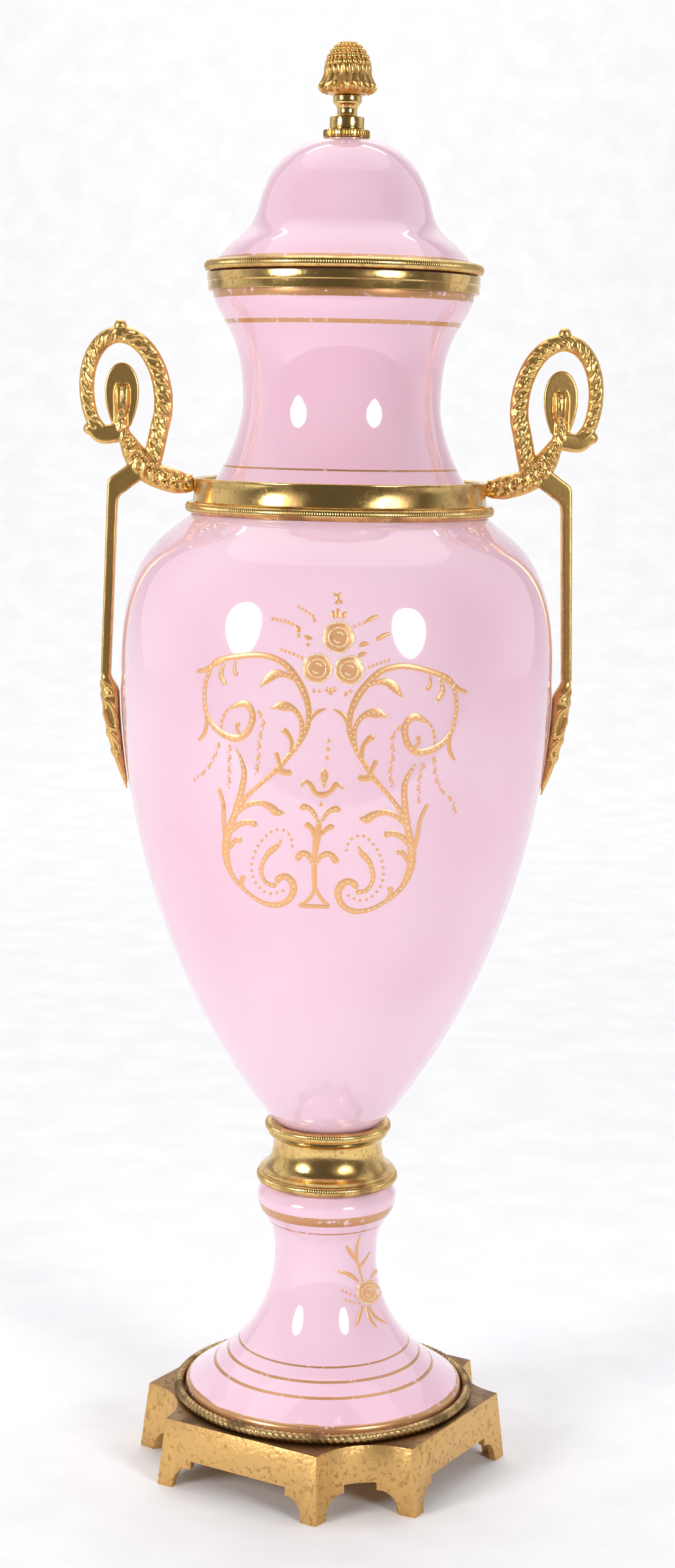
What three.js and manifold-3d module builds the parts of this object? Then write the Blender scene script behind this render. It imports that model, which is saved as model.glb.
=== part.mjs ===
// Amphora vase: glazed porcelain foot, body and lid in gilt brass mounts, with two cast handles.
// Millimetres, +Z up. The origin is the centre of the plinth's footprint, on the floor.
// The handles stand along X and the front of the vase faces -Y.

import * as THREE from "three";
import { mergeVertices } from "three/addons/utils/BufferGeometryUtils.js";
import Module from "manifold-3d";

const wasm = await Module();
wasm.setup();

// Driving dimensions

const GAP = 0.3; // clearance left between pieces that touch
const FACETS = 24; // facets round every turned piece
const DEG = Math.PI / 180;

const plinth = {
  height: 23.8,
  halfWidth: 55.2, // centre to a straight face, at the top edge
  faceHalf: 31.3, // half the length of a straight face, at the top edge
  splay: 2.6, // how far a face leans out by the time it reaches the floor
  wall: 2.6,
  plate: 2.6, // thickness of the top plate
  turn: -32, // degrees from the handles' plane
  footTip: 6, // width of a bracket foot along a straight face
  hollowTip: 4.7, // and along a hollowed corner
  archHeight: 10.8,
  haunchHeight: 8,
  haunchWidth: 6.5,
  archStep: 0.7,
};

const rope = { width: 3.7, height: 3.6, play: 0.25 }; // play: slack round the porcelain foot

const foot = {
  height: 78.5,
  baseRadius: 49.9,
  edge: 4.3, // height of the upright edge at the bottom
  flareAngle: 150.7,
  flareReach: 18.3,
  waistRadius: 18.35,
  waistHeight: 51.9,
  waistBelow: 24.2,
  waistAbove: 15.2,
  bulgeRadius: 25,
  bulgeHeight: 74.7,
  bulgeReach: 10.1,
  topRadius: 22.6,
  wall: 3.6,
  crown: 5, // thickness of the closed top
};

const waistCollar = {
  height: 22.1,
  bore: 12,
  throatRadius: 19.5,
  throatHeight: 14.2,
  lowerOverhang: 0.3, // lower bead past the foot's bulge
  upperOverhang: 2.5, // upper bead past the body's heel
  bead: 1.8, // radius of either milled bead's section
  fillet: 1.1, // upright fillet between a bead and the hollow
  seat: 3.5, // how deep the body sits in the collar
};

const body = {
  height: 300.4, // base to lip
  baseRadius: 14.5,
  heelRadius: 20,
  heelHeight: 4.1,
  heelAngle: 51,
  heelReach: 49.4,
  bellyRadius: 75.4,
  bellyHeight: 166.2,
  bellyBelow: 65.2,
  bellyAbove: 39.3,
  shoulderRadius: 52,
  shoulderHeight: 218.6,
  shoulderAngle: 139.9,
  shoulderBelow: 12.5,
  shoulderAbove: 2,
  neckRadius: 34.2,
  neckHeight: 257.6,
  neckBelow: 18,
  neckAbove: 25.8,
  lipRadius: 44.7,
  lipHeight: 294,
  lipAngle: 83.3,
  lipReach: 9.3,
  wall: 4,
  floor: 6,
};

const shoulderCollar = {
  rise: 0.5, // how far the collar's foot sits above the shoulder's turning point
  height: 12.3,
  bead: 1.9,
  beadOverhang: 1.7, // bead past the glaze that carries it
  bandInset: 2.7, // band behind the bead's outermost line
  edge: 0.6, // height of the rounding at the band's top
  wall: 1.6,
};

const rimBand = { height: 5.9, width: 1.8, step: 0.35, overlap: 5.5 };

const lidBand = { height: 4, width: 3, bead: 1.95 };

const lid = {
  height: 45.3, // rim to seat
  rimOverhang: 0.1, // rim past the neck's lip
  rimEdge: 3.6,
  shoulderInset: 1.5,
  shoulderHeight: 4.8,
  shoulderAngle: 126.2,
  shoulderReach: 12.1,
  waistRadius: 29.2,
  waistHeight: 24.2,
  waistAngle: 103.7,
  waistBelow: 13.4,
  waistAbove: 11.1,
  seatRadius: 8.4,
  crownAngle: 170.8,
  crownReach: 11.2,
  wall: 3.6,
  flangeDepth: 5,
  flangeWall: 3.4,
  flangePlay: 0.8,
};

const washer = { inset: 0.3, height: 2.6, teeth: 24, toothDepth: 0.4 }; // inset from the lid's seat

const stem = {
  drumRadius: 5.9,
  drumHeight: 4,
  throatRadius: 3.4,
  throatHeight: 6.2,
  cupRadius: 4.9,
  cupBottom: 8.4,
  height: 11,
  facets: 12,
};

const cone = {
  height: 17.8,
  tipRadius: 9.7,
  tipHeight: 2.9,
  kneeRadius: 8.1,
  kneeHeight: 7.6,
  crownPower: 2.1, // 2 would make the crown an ellipse
  undersideLip: 1.8, // underside past the stem's cup
  buttonRadius: 1.6,
  leaves: 15,
  leafDepth: 0.6,
  rowStep: 0.5,
};

const handle = {
  armRise: 10.4, // joint above the foot of the shoulder collar
  armThick: 8.3,
  armDepth: 8.4,
  jointShare: 0.66, // thickness at the joint, as a share of the arm's
  budWidth: 4.8,
  budDepth: 5,
  ringReach: 23.8, // ring's centre out from the collar's band
  ringRise: 29.5, // and up from the joint
  ringHalfWidth: 13.1,
  ringHalfHeight: 20.5,
  ringLean: 1.8,
  ringFrom: -35, // degrees round the ring, from outward over the top
  ringTo: 214,
  ringBar: 4.7, // width of the ring's bar at its outer side
  ringBarInner: 6.6, // and at the side nearest the vase
  ringDepth: 5.2,
  ringRidges: 18,
  ridge: 0.09, // ridge height as a share of the bar
  knob: 2.1,
  leafHalfWidth: 5.9,
  leafTop: 11.1, // leaf's top above the ring's centre
  leafHeight: 22,
  leafThickness: 2.4,
  leafShift: 1.1, // leaf outwards from the ring's centre
  curlThick: 6.4,
  curlDepth: 4.2,
  strapReach: 5, // strap's outer edge past the belly, where it leaves the bracket
  strapSpread: 1.9, // further out by the time it reaches the leaf
  strapWidth: 3.5,
  strapDepth: 6,
  bracketRise: 2.4, // bracket's outer corner above the joint
  bracketHeight: 8,
  bracketSlope: 0.75,
  bracketRound: 2.4,
  terminalTop: 4, // leaf's top below the belly's widest point
  terminalLength: 40,
  terminalThick: 6.6,
  terminalDepth: 9,
  terminalLobes: 3,
  terminalLift: 0.8, // tip off the porcelain
  tipDepth: 2.4,
};

// Heights of the pieces, stacked from the floor up

const ropeZ = plinth.height + GAP;
const footZ = ropeZ;
const waistCollarZ = footZ + foot.height + GAP;
const bodyZ = waistCollarZ + waistCollar.height - waistCollar.seat;
const lipZ = bodyZ + body.height;
const shoulderCollarZ = bodyZ + body.shoulderHeight + shoulderCollar.rise;
const rimBandZ = lipZ - rimBand.overlap;
const lidZ = rimBandZ + rimBand.height + GAP;
const washerZ = lidZ + lid.height + GAP;
const stemZ = washerZ + washer.height + GAP;
const coneZ = stemZ + stem.height + GAP;

// Solids

/** Turns a closed three.js geometry into a solid that can be joined and cut. */
function solid(geometry) {
  const bare = geometry.clone();
  bare.deleteAttribute("normal");
  bare.deleteAttribute("uv");
  const merged = mergeVertices(bare, 1e-4);
  const mesh = new wasm.Mesh({
    numProp: 3,
    vertProperties: new Float32Array(merged.attributes.position.array),
    triVerts: new Uint32Array(merged.index.array),
  });
  return new wasm.Manifold(mesh);
}

/** Gives a solid back as a geometry. */
function geometryOf(manifold) {
  const mesh = manifold.getMesh();
  const geometry = new THREE.BufferGeometry();
  geometry.setAttribute("position", new THREE.BufferAttribute(new Float32Array(mesh.vertProperties), 3));
  geometry.setIndex(new THREE.BufferAttribute(new Uint32Array(mesh.triVerts), 1));
  return geometry;
}

/** Joins geometries that overlap into one solid. */
function joined(geometries) {
  return geometries.map(solid).reduce((sum, next) => sum.add(next));
}

/** Moves every vertex of a geometry with a function that changes the point it is given. */
function bend(geometry, move) {
  const position = geometry.attributes.position;
  const point = new THREE.Vector3();
  for (let i = 0; i < position.count; i += 1) {
    point.fromBufferAttribute(position, i);
    move(point);
    position.setXYZ(i, point.x, point.y, point.z);
  }
  return geometry;
}

/** Turns a profile of [radius, height] pairs about the Z axis. */
function turned(profile, facets = FACETS) {
  const points = profile.map(([r, z]) => new THREE.Vector2(r, z));
  return new THREE.LatheGeometry(points, facets).rotateX(Math.PI / 2);
}

/** A turned ring, from a section that doesn't reach the axis. */
function turnedRing(section) {
  return turned([...section, section[0]]);
}

/** Points of a hollow moulding: a quarter ellipse that ends upright at the second point. */
function hollow(r0, z0, r1, z1, steps) {
  const points = [];
  for (let i = 1; i <= steps; i += 1) {
    const angle = (Math.PI / 2) * (i / steps);
    points.push([r0 + (r1 - r0) * Math.sin(angle), z0 + (z1 - z0) * (1 - Math.cos(angle))]);
  }
  return points;
}

/** Points of a round bead's outer side, upwards, about a centre. */
function bead(r, z, size, from, to, steps) {
  const points = [];
  for (let i = 0; i <= steps; i += 1) {
    const angle = (from + ((to - from) * i) / steps) * DEG;
    points.push([r + size * Math.cos(angle), z + size * Math.sin(angle)]);
  }
  return points;
}

/**
 * A smooth profile through a few stations. Each has a radius r, a height z, the direction of
 * travel there in degrees (90 is straight up), and how strongly the curve holds it on either side.
 */
function swelling(stations, steps) {
  const points = [[stations[0].r, stations[0].z]];
  for (let i = 1; i < stations.length; i += 1) {
    const a = stations[i - 1];
    const b = stations[i];
    const curve = new THREE.CubicBezierCurve(
      new THREE.Vector2(a.r, a.z),
      new THREE.Vector2(a.r + a.after * Math.cos(a.dir * DEG), a.z + a.after * Math.sin(a.dir * DEG)),
      new THREE.Vector2(b.r - b.before * Math.cos(b.dir * DEG), b.z - b.before * Math.sin(b.dir * DEG)),
      new THREE.Vector2(b.r, b.z),
    );
    const spaced = curve.getSpacedPoints(steps[i - 1]).slice(1);
    points.push(...spaced.map((p) => [p.x, p.y]));
  }
  return points;
}

/** A profile's inner side: every nth point moved inwards by the wall, from the top down. */
function innerSide(profile, wall, lowest, highest, every) {
  const inner = [];
  for (let i = profile.length - 2; i > 0; i -= 1) {
    const [r0, z0] = profile[i - 1];
    const [r1, z1] = profile[i + 1];
    const length = Math.hypot(r1 - r0, z1 - z0);
    const r = profile[i][0] - (wall * (z1 - z0)) / length;
    const z = profile[i][1] + (wall * (r1 - r0)) / length;
    if (i % every === 0 && r > wall && z > lowest && z < highest) inner.push([r, z]);
  }
  return inner;
}

/** Radius of a profile at a height, between its points. */
function radiusAt(profile, z) {
  for (let i = 1; i < profile.length; i += 1) {
    const [r0, z0] = profile[i - 1];
    const [r1, z1] = profile[i];
    if (z >= z0 && z <= z1) return r0 + ((r1 - r0) * (z - z0)) / (z1 - z0);
  }
  return profile[profile.length - 1][0];
}

/** A shape drawn in x and z, given depth along y, half to each side. */
function slab(shape, depth, curveSegments = 5) {
  const geometry = new THREE.ExtrudeGeometry(shape, { depth, bevelEnabled: false, curveSegments });
  return geometry.rotateX(Math.PI / 2).translate(0, depth / 2, 0);
}

/**
 * A bar along a flat curve in x and z. section(t, angle) gives its half width in the plane and
 * its half depth along y at a share t of the way; angle 0 points to the left of the travel.
 */
function bar(curve, steps, sides, section) {
  const geometry = new THREE.CylinderGeometry(1, 1, 1, sides, steps);
  return bend(geometry, (p) => {
    const t = Math.min(Math.max(p.y + 0.5, 0), 1);
    const at = curve.getPointAt(t);
    const along = curve.getTangentAt(t);
    const [across, deep] = section(t, Math.atan2(p.z, p.x));
    p.set(at.x - along.z * across * p.x, deep * p.z, at.z + along.x * across * p.x);
  });
}

/** A ball squashed to its three half sizes, with its centre at a place. */
function ball(x, y, z, rx, ry, rz, around = 6, down = 4) {
  return new THREE.SphereGeometry(1, around, down).rotateX(Math.PI / 2).scale(rx, ry, rz).translate(x, y, z);
}

// Plinth: a square cast shell with hollowed corners, standing on eight bracket feet

/** Outline of the plinth, moved in from its faces by a wall. */
function plinthShape(inset) {
  const half = plinth.halfWidth - inset;
  const radius = plinth.halfWidth - plinth.faceHalf + inset;
  const reach = Math.sqrt(radius ** 2 - inset ** 2);
  const from = Math.asin(inset / radius);
  const arcSteps = 5;
  const shape = new THREE.Shape();
  for (let corner = 0; corner < 4; corner += 1) {
    for (let i = 0; i <= arcSteps; i += 1) {
      const angle = from + ((Math.PI / 2 - 2 * from) * i) / arcSteps;
      const x = plinth.halfWidth - radius * Math.sin(angle);
      const y = plinth.halfWidth - radius * Math.cos(angle);
      const first = i === 0 ? [half, plinth.halfWidth - reach] : [x, y];
      const point = new THREE.Vector2(...first).rotateAround(new THREE.Vector2(), (corner * Math.PI) / 2);
      if (corner === 0 && i === 0) shape.moveTo(point.x, point.y);
      else shape.lineTo(point.x, point.y);
    }
  }
  shape.closePath();
  return shape;
}

/** The plinth's outline as a block from z0 to z1 whose faces lean out towards the floor. */
function plinthBlock(inset, z0, z1) {
  const geometry = new THREE.ExtrudeGeometry(plinthShape(inset), { depth: z1 - z0, bevelEnabled: false });
  const spread = plinth.splay / plinth.halfWidth;
  return bend(geometry.translate(0, 0, z0), (p) => {
    const scale = 1 + spread * (1 - p.z / plinth.height);
    p.set(p.x * scale, p.y * scale, p.z);
  });
}

/** The opening between two bracket feet: quarter-round haunches, a small step and a flat top. */
function archShape(halfWidth) {
  const springing = halfWidth - plinth.haunchWidth;
  const half = springing - plinth.archStep;
  const below = -plinth.archHeight;
  const shape = new THREE.Shape();
  shape.moveTo(-halfWidth, below);
  shape.lineTo(halfWidth, below);
  shape.lineTo(halfWidth, 0);
  shape.absellipse(springing, 0, plinth.haunchWidth, plinth.haunchHeight, 0, Math.PI / 2, false);
  shape.lineTo(half, plinth.haunchHeight);
  shape.lineTo(half, plinth.archHeight);
  shape.lineTo(-half, plinth.archHeight);
  shape.lineTo(-half, plinth.haunchHeight);
  shape.absellipse(-springing, 0, plinth.haunchWidth, plinth.haunchHeight, Math.PI / 2, Math.PI, false);
  shape.closePath();
  return shape;
}

function plinthGeometry() {
  const outer = solid(plinthBlock(0, 0, plinth.height));
  const inner = solid(plinthBlock(plinth.wall, -plinth.plate, plinth.height - plinth.plate));
  const cornerHalf = (plinth.halfWidth - plinth.faceHalf) / Math.SQRT2;
  const scale = 1 + plinth.splay / plinth.halfWidth;
  const faceArch = plinth.faceHalf * scale - plinth.footTip;
  const cornerArch = cornerHalf * scale - plinth.hollowTip;
  let shell = outer.subtract(inner);
  for (let side = 0; side < 8; side += 1) {
    const depth = plinth.halfWidth;
    const arch = slab(archShape(side % 2 ? cornerArch : faceArch), depth, 2);
    arch.translate(0, -depth, 0).rotateZ((side * Math.PI) / 4);
    shell = shell.subtract(solid(arch));
  }
  return geometryOf(shell).rotateZ(plinth.turn * DEG);
}

// Rope moulding round the porcelain foot, plain here: its strands are finer relief

function ropeGeometry() {
  const half = rope.width / 2;
  const middle = foot.baseRadius + GAP + rope.play + half;
  const shoulder = ropeZ + rope.height * 0.45;
  return turnedRing([
    [middle + half * 0.7, ropeZ],
    [middle + half, shoulder],
    [middle, ropeZ + rope.height],
    [middle - half, shoulder],
    [middle - half * 0.7, ropeZ],
  ]);
}

// Porcelain foot: a trumpet on an upright edge, hollow from below

const footTopZ = footZ + foot.height;
const footProfile = swelling(
  [
    { r: foot.baseRadius, z: footZ + foot.edge, dir: foot.flareAngle, after: foot.flareReach },
    {
      r: foot.waistRadius,
      z: footZ + foot.waistHeight,
      dir: 90,
      before: foot.waistBelow,
      after: foot.waistAbove,
    },
    { r: foot.bulgeRadius, z: footZ + foot.bulgeHeight, dir: 90, before: foot.bulgeReach, after: 0 },
  ],
  [6, 3],
);

function footGeometry() {
  const inner = innerSide(footProfile, foot.wall, footZ, footTopZ - foot.crown, 2);
  const lowest = [foot.baseRadius - foot.wall, footZ];
  return turned([
    [0, footTopZ - foot.crown],
    [foot.waistRadius - foot.wall, footTopZ - foot.crown],
    ...inner,
    lowest,
    [foot.baseRadius, footZ],
    ...footProfile,
    [foot.topRadius, footTopZ],
    [0, footTopZ],
  ]);
}

// Body and neck: one thrown and cast porcelain vessel, hollow and open at the lip

const bodyProfile = [
  [body.baseRadius, bodyZ],
  ...swelling(
    [
      { r: body.heelRadius, z: bodyZ + body.heelHeight, dir: body.heelAngle, after: body.heelReach },
      {
        r: body.bellyRadius,
        z: bodyZ + body.bellyHeight,
        dir: 90,
        before: body.bellyBelow,
        after: body.bellyAbove,
      },
      {
        r: body.shoulderRadius,
        z: bodyZ + body.shoulderHeight,
        dir: body.shoulderAngle,
        before: body.shoulderBelow,
        after: body.shoulderAbove,
      },
      {
        r: body.neckRadius,
        z: bodyZ + body.neckHeight,
        dir: 90,
        before: body.neckBelow,
        after: body.neckAbove,
      },
      { r: body.lipRadius, z: bodyZ + body.lipHeight, dir: body.lipAngle, before: body.lipReach, after: 0 },
    ],
    [6, 5, 4, 4],
  ),
  [body.lipRadius, lipZ],
];

const bodyRadius = (z) => radiusAt(bodyProfile, z);

function bodyGeometry() {
  const floorZ = bodyZ + body.floor;
  const lipTurnZ = bodyZ + body.lipHeight;
  const inner = innerSide(bodyProfile, body.wall, floorZ, lipTurnZ - body.wall, 3);
  return turned([
    [0, bodyZ],
    ...bodyProfile,
    [body.lipRadius - body.wall, lipZ],
    [body.lipRadius - body.wall, lipTurnZ],
    ...inner,
    [body.baseRadius - body.wall, floorZ],
    [0, floorZ],
  ]);
}

// Waist collar: a turned brass ring between foot and body, with a milled bead at each end

function waistCollarGeometry() {
  const c = waistCollar;
  const top = waistCollarZ + c.height;
  const lowerRadius = foot.bulgeRadius + c.lowerOverhang;
  const upperRadius = body.heelRadius + c.upperOverhang;
  const lowerZ = waistCollarZ + 2 * c.bead + c.fillet;
  const upperZ = top - 2 * c.bead - c.fillet;
  const throatZ = waistCollarZ + c.throatHeight;
  const lip = c.bead * 0.6;
  return turnedRing([
    ...bead(lowerRadius - c.bead, waistCollarZ + c.bead, c.bead, -90, 60, 2),
    [lowerRadius - lip, lowerZ],
    ...hollow(lowerRadius - lip, lowerZ, c.throatRadius, throatZ, 3),
    [upperRadius - lip, upperZ],
    ...bead(upperRadius - c.bead, top - c.bead, c.bead, -60, 90, 2),
    [bodyRadius(top) + GAP, top],
    [body.baseRadius + 2 * GAP, bodyZ - GAP],
    [c.bore, bodyZ - GAP],
    [c.bore, waistCollarZ],
  ]);
}

// Shoulder collar: a spun brass ring that sits on the shoulder and carries the handles

const collarBeadRadius = bodyRadius(shoulderCollarZ) + GAP + shoulderCollar.beadOverhang;
const collarBeadZ = shoulderCollarZ + 1.2 * shoulderCollar.bead;
const collarInsideZ = collarBeadZ + 1.2 * shoulderCollar.bead;
const collarBandRadius = Math.max(
  collarBeadRadius - shoulderCollar.bandInset,
  bodyRadius(collarInsideZ) + GAP + shoulderCollar.wall,
);

function shoulderCollarGeometry() {
  const c = shoulderCollar;
  const top = shoulderCollarZ + c.height;
  const inside = collarBandRadius - c.wall;
  return turnedRing([
    ...bead(collarBeadRadius - c.bead, collarBeadZ, c.bead, -70, 70, 3),
    [collarBandRadius, collarBeadZ + 2 * c.bead],
    [collarBandRadius, top - c.edge],
    [collarBandRadius - c.wall / 2, top],
    [inside, top - c.edge],
    [inside, collarInsideZ],
    [bodyRadius(shoulderCollarZ) + GAP, shoulderCollarZ],
  ]);
}

// Rim band: a flat brass ring in two steps, round the neck's lip

const bandInner = body.lipRadius + GAP;

function rimBandGeometry() {
  const outer = bandInner + rimBand.width;
  const middle = rimBandZ + rimBand.height / 2;
  return turnedRing([
    [outer - rimBand.step, rimBandZ],
    [outer - rimBand.step, middle],
    [outer, middle],
    [outer, rimBandZ + rimBand.height],
    [bandInner, rimBandZ + rimBand.height],
    [bandInner, rimBandZ],
  ]);
}

// Lid band: a milled brass bead round the lid's rim

const lidRimRadius = body.lipRadius + lid.rimOverhang;

function lidBandGeometry() {
  const inner = lidRimRadius + GAP;
  const centre = inner + lidBand.width - lidBand.bead;
  return turnedRing([
    ...bead(centre, lidZ + lidBand.height / 2, lidBand.bead, -90, 90, 3),
    [inner, lidZ + lidBand.height],
    [inner, lidZ],
  ]);
}

// Lid: a hollow porcelain dome with a flange that drops into the neck

function lidGeometry() {
  const seatZ = lidZ + lid.height;
  const dome = swelling(
    [
      {
        r: lidRimRadius - lid.shoulderInset,
        z: lidZ + lid.shoulderHeight,
        dir: lid.shoulderAngle,
        after: lid.shoulderReach,
      },
      {
        r: lid.waistRadius,
        z: lidZ + lid.waistHeight,
        dir: lid.waistAngle,
        before: lid.waistBelow,
        after: lid.waistAbove,
      },
      { r: lid.seatRadius, z: seatZ, dir: lid.crownAngle, before: lid.crownReach, after: 0 },
    ],
    [5, 4],
  );
  const flangeOuter = body.lipRadius - body.wall - lid.flangePlay;
  const flangeInner = flangeOuter - lid.flangeWall;
  const inner = innerSide(dome, lid.wall, lidZ + lid.rimEdge, seatZ, 2);
  return turned([
    [0, seatZ - lid.wall],
    ...inner,
    [flangeInner, lidZ + lid.rimEdge],
    [flangeInner, lidZ - lid.flangeDepth],
    [flangeOuter, lidZ - lid.flangeDepth],
    [flangeOuter, lidZ],
    [lidRimRadius, lidZ],
    [lidRimRadius, lidZ + lid.rimEdge],
    ...dome,
    [0, seatZ],
  ]);
}

// Finial: a milled washer, a turned stem and a cast pine cone

function washerGeometry() {
  const shape = new THREE.Shape();
  const count = washer.teeth * 2;
  for (let i = 0; i < count; i += 1) {
    const r = lid.seatRadius - washer.inset - (i % 2) * washer.toothDepth;
    const angle = (i * 2 * Math.PI) / count;
    if (i === 0) shape.moveTo(r, 0);
    else shape.lineTo(r * Math.cos(angle), r * Math.sin(angle));
  }
  shape.closePath();
  const disc = new THREE.ExtrudeGeometry(shape, { depth: washer.height, bevelEnabled: false });
  return disc.translate(0, 0, washerZ);
}

function stemGeometry() {
  const s = stem;
  const cup = hollow(s.cupRadius, s.cupBottom, s.throatRadius, s.throatHeight, 3);
  const profile = [
    [0, 0],
    [s.drumRadius, 0],
    [s.drumRadius, s.drumHeight],
    ...hollow(s.drumRadius, s.drumHeight, s.throatRadius, s.throatHeight, 3),
    ...cup.slice(0, 2).reverse(),
    [s.cupRadius, s.cupBottom],
    [s.cupRadius, s.height],
    [0, s.height],
  ];
  return turned(profile.map(([r, z]) => [r, stemZ + z]), s.facets);
}

/** Radius of the cone's plain form at a height above its underside. */
function coneForm(z) {
  const c = cone;
  if (z < c.tipHeight) {
    const underside = stem.cupRadius + c.undersideLip;
    return underside + (c.tipRadius - underside) * Math.sin((Math.PI / 2) * (z / c.tipHeight));
  }
  if (z < c.kneeHeight) {
    const t = (z - c.tipHeight) / (c.kneeHeight - c.tipHeight);
    return c.tipRadius + (c.kneeRadius - c.tipRadius) * Math.sin((t * Math.PI) / 2);
  }
  const t = Math.min((z - c.kneeHeight) / (c.height - c.kneeHeight), 1);
  return Math.max(c.kneeRadius * Math.sqrt(1 - t ** c.crownPower), c.buttonRadius);
}

/** Long drooping leaves round the bottom of the cone, and rows of small scales above them. */
function coneGeometry() {
  const c = cone;
  const heights = [0, c.tipHeight / 2, c.tipHeight];
  for (let i = 1; i <= 2; i += 1) heights.push(c.tipHeight + ((c.kneeHeight - c.tipHeight) * i) / 2);
  for (let i = 1; i <= 6; i += 1) heights.push(c.kneeHeight + ((c.height - c.kneeHeight) * i) / 6);
  const levels = heights.length - 1;
  const geometry = new THREE.CylinderGeometry(1, 1, 1, c.leaves * 2, levels).rotateX(Math.PI / 2);
  return bend(geometry, (p) => {
    const level = Math.round((p.z + 0.5) * levels);
    const z = heights[level];
    const angle = Math.atan2(p.y, p.x);
    const lobe = Math.cos(angle * c.leaves + (z > c.kneeHeight ? Math.PI * level : 0));
    const carving = (c.leafDepth * (lobe - 1)) / 2 - (level % 2) * (c.rowStep / 2);
    const carved = level === 0 || level === levels ? 0 : carving;
    const r = Math.hypot(p.x, p.y) < 0.01 ? 0 : coneForm(z) + carved;
    p.set(r * Math.cos(angle), r * Math.sin(angle), coneZ + z);
  });
}

// Handle: one casting, drawn on the +X side. The other is the same casting turned half round.

const jointX = collarBandRadius + GAP;
const jointZ = shoulderCollarZ + handle.armRise;
const ringX = collarBandRadius + handle.ringReach;
const ringZ = jointZ + handle.ringRise;
const bellyZ = bodyZ + body.bellyHeight;

/** A flat curve in x and z through [x, z] points. */
function flatCurve(points) {
  return new THREE.CatmullRomCurve3(points.map(([x, z]) => new THREE.Vector3(x, 0, z)), false, "centripetal");
}

/** The ring's bar, from the lower knob over the top and down into the arm. */
function handleRing() {
  const h = handle;
  const stations = 12;
  const points = [];
  for (let i = 0; i <= stations; i += 1) {
    const angle = (h.ringFrom + ((h.ringTo - h.ringFrom) * i) / stations) * DEG;
    points.push([
      ringX + h.ringHalfWidth * Math.cos(angle) + h.ringLean * Math.sin(angle),
      ringZ + h.ringHalfHeight * Math.sin(angle),
    ]);
  }
  points.push([ringX - 0.76 * h.ringHalfWidth, ringZ - h.ringHalfHeight]);
  points.push([ringX - 0.64 * h.ringHalfWidth, ringZ - 1.22 * h.ringHalfHeight]);
  return bar(flatCurve(points), h.ringRidges * 2, 6, (t) => {
    const ridge = 1 + h.ridge * Math.cos(t * h.ringRidges * 2 * Math.PI);
    const width = h.ringBar + (h.ringBarInner - h.ringBar) * Math.sin((Math.PI * t) / 2);
    return [(ridge * width) / 2, (ridge * h.ringDepth) / 2];
  });
}

/** The arm, from the collar out and up round the curl to the bud on the leaf. */
function handleArm() {
  const h = handle;
  const shares = [
    [0, 0],
    [0.14, -0.01],
    [0.47, 0.055],
    [0.69, 0.15],
    [0.84, 0.31],
    [0.94, 0.455],
    [1.03, 0.6],
    [1.045, 0.84],
    [1.04, 1.13],
  ];
  const curve = flatCurve(shares.map(([x, z]) => [jointX + x * h.ringReach, jointZ + z * h.ringRise]));
  return bar(curve, 12, 8, (t) => {
    const joint = h.jointShare + (1 - h.jointShare) * THREE.MathUtils.smoothstep(t, 0, 0.12);
    const thinned = THREE.MathUtils.smoothstep(t, 0.46, 0.68);
    const width = h.armThick + (h.budWidth - h.armThick) * thinned;
    const depth = h.armDepth + (h.budDepth - h.armDepth) * thinned;
    return [(joint * width) / 2, (joint * depth) / 2];
  });
}

/** The flat spoon leaf inside the ring. */
function handleLeaf() {
  const h = handle;
  const x = ringX + h.leafShift;
  const top = ringZ + h.leafTop;
  const bottom = top - h.leafHeight;
  const widest = top - 0.44 * h.leafHeight;
  const taper = widest - 0.27 * h.leafHeight;
  const shape = new THREE.Shape();
  shape.moveTo(x - h.leafHalfWidth / 2, bottom);
  shape.lineTo(x + h.leafHalfWidth / 2, bottom);
  shape.quadraticCurveTo(x + h.leafHalfWidth, taper, x + h.leafHalfWidth, widest);
  shape.absellipse(x, widest, h.leafHalfWidth, top - widest, 0, Math.PI, false);
  shape.quadraticCurveTo(x - h.leafHalfWidth, taper, x - h.leafHalfWidth / 2, bottom);
  return slab(shape, h.leafThickness, 4);
}

/** The plain end of the ring's scroll, curling in from the lower knob to the arm. */
function handleCurl(knobX, knobZ) {
  const h = handle;
  const endX = ringX + 0.15 * h.ringHalfWidth;
  const middleX = ringX + 0.61 * h.ringHalfWidth;
  const outerX = ringX + 0.81 * h.ringHalfWidth;
  const under = knobZ - 0.66 * h.curlThick;
  const over = knobZ + 0.34 * h.curlThick;
  const shape = new THREE.Shape();
  shape.moveTo(knobX - h.knob / 2, knobZ - h.knob);
  shape.quadraticCurveTo(middleX, under - h.knob / 3, endX, under);
  shape.lineTo(endX, over);
  shape.quadraticCurveTo(middleX, over - h.knob / 3, outerX, over + 1.5 * h.knob);
  shape.lineTo(knobX - h.knob / 2, knobZ + 1.4 * h.knob);
  shape.closePath();
  return slab(shape, h.curlDepth, 3);
}

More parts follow.
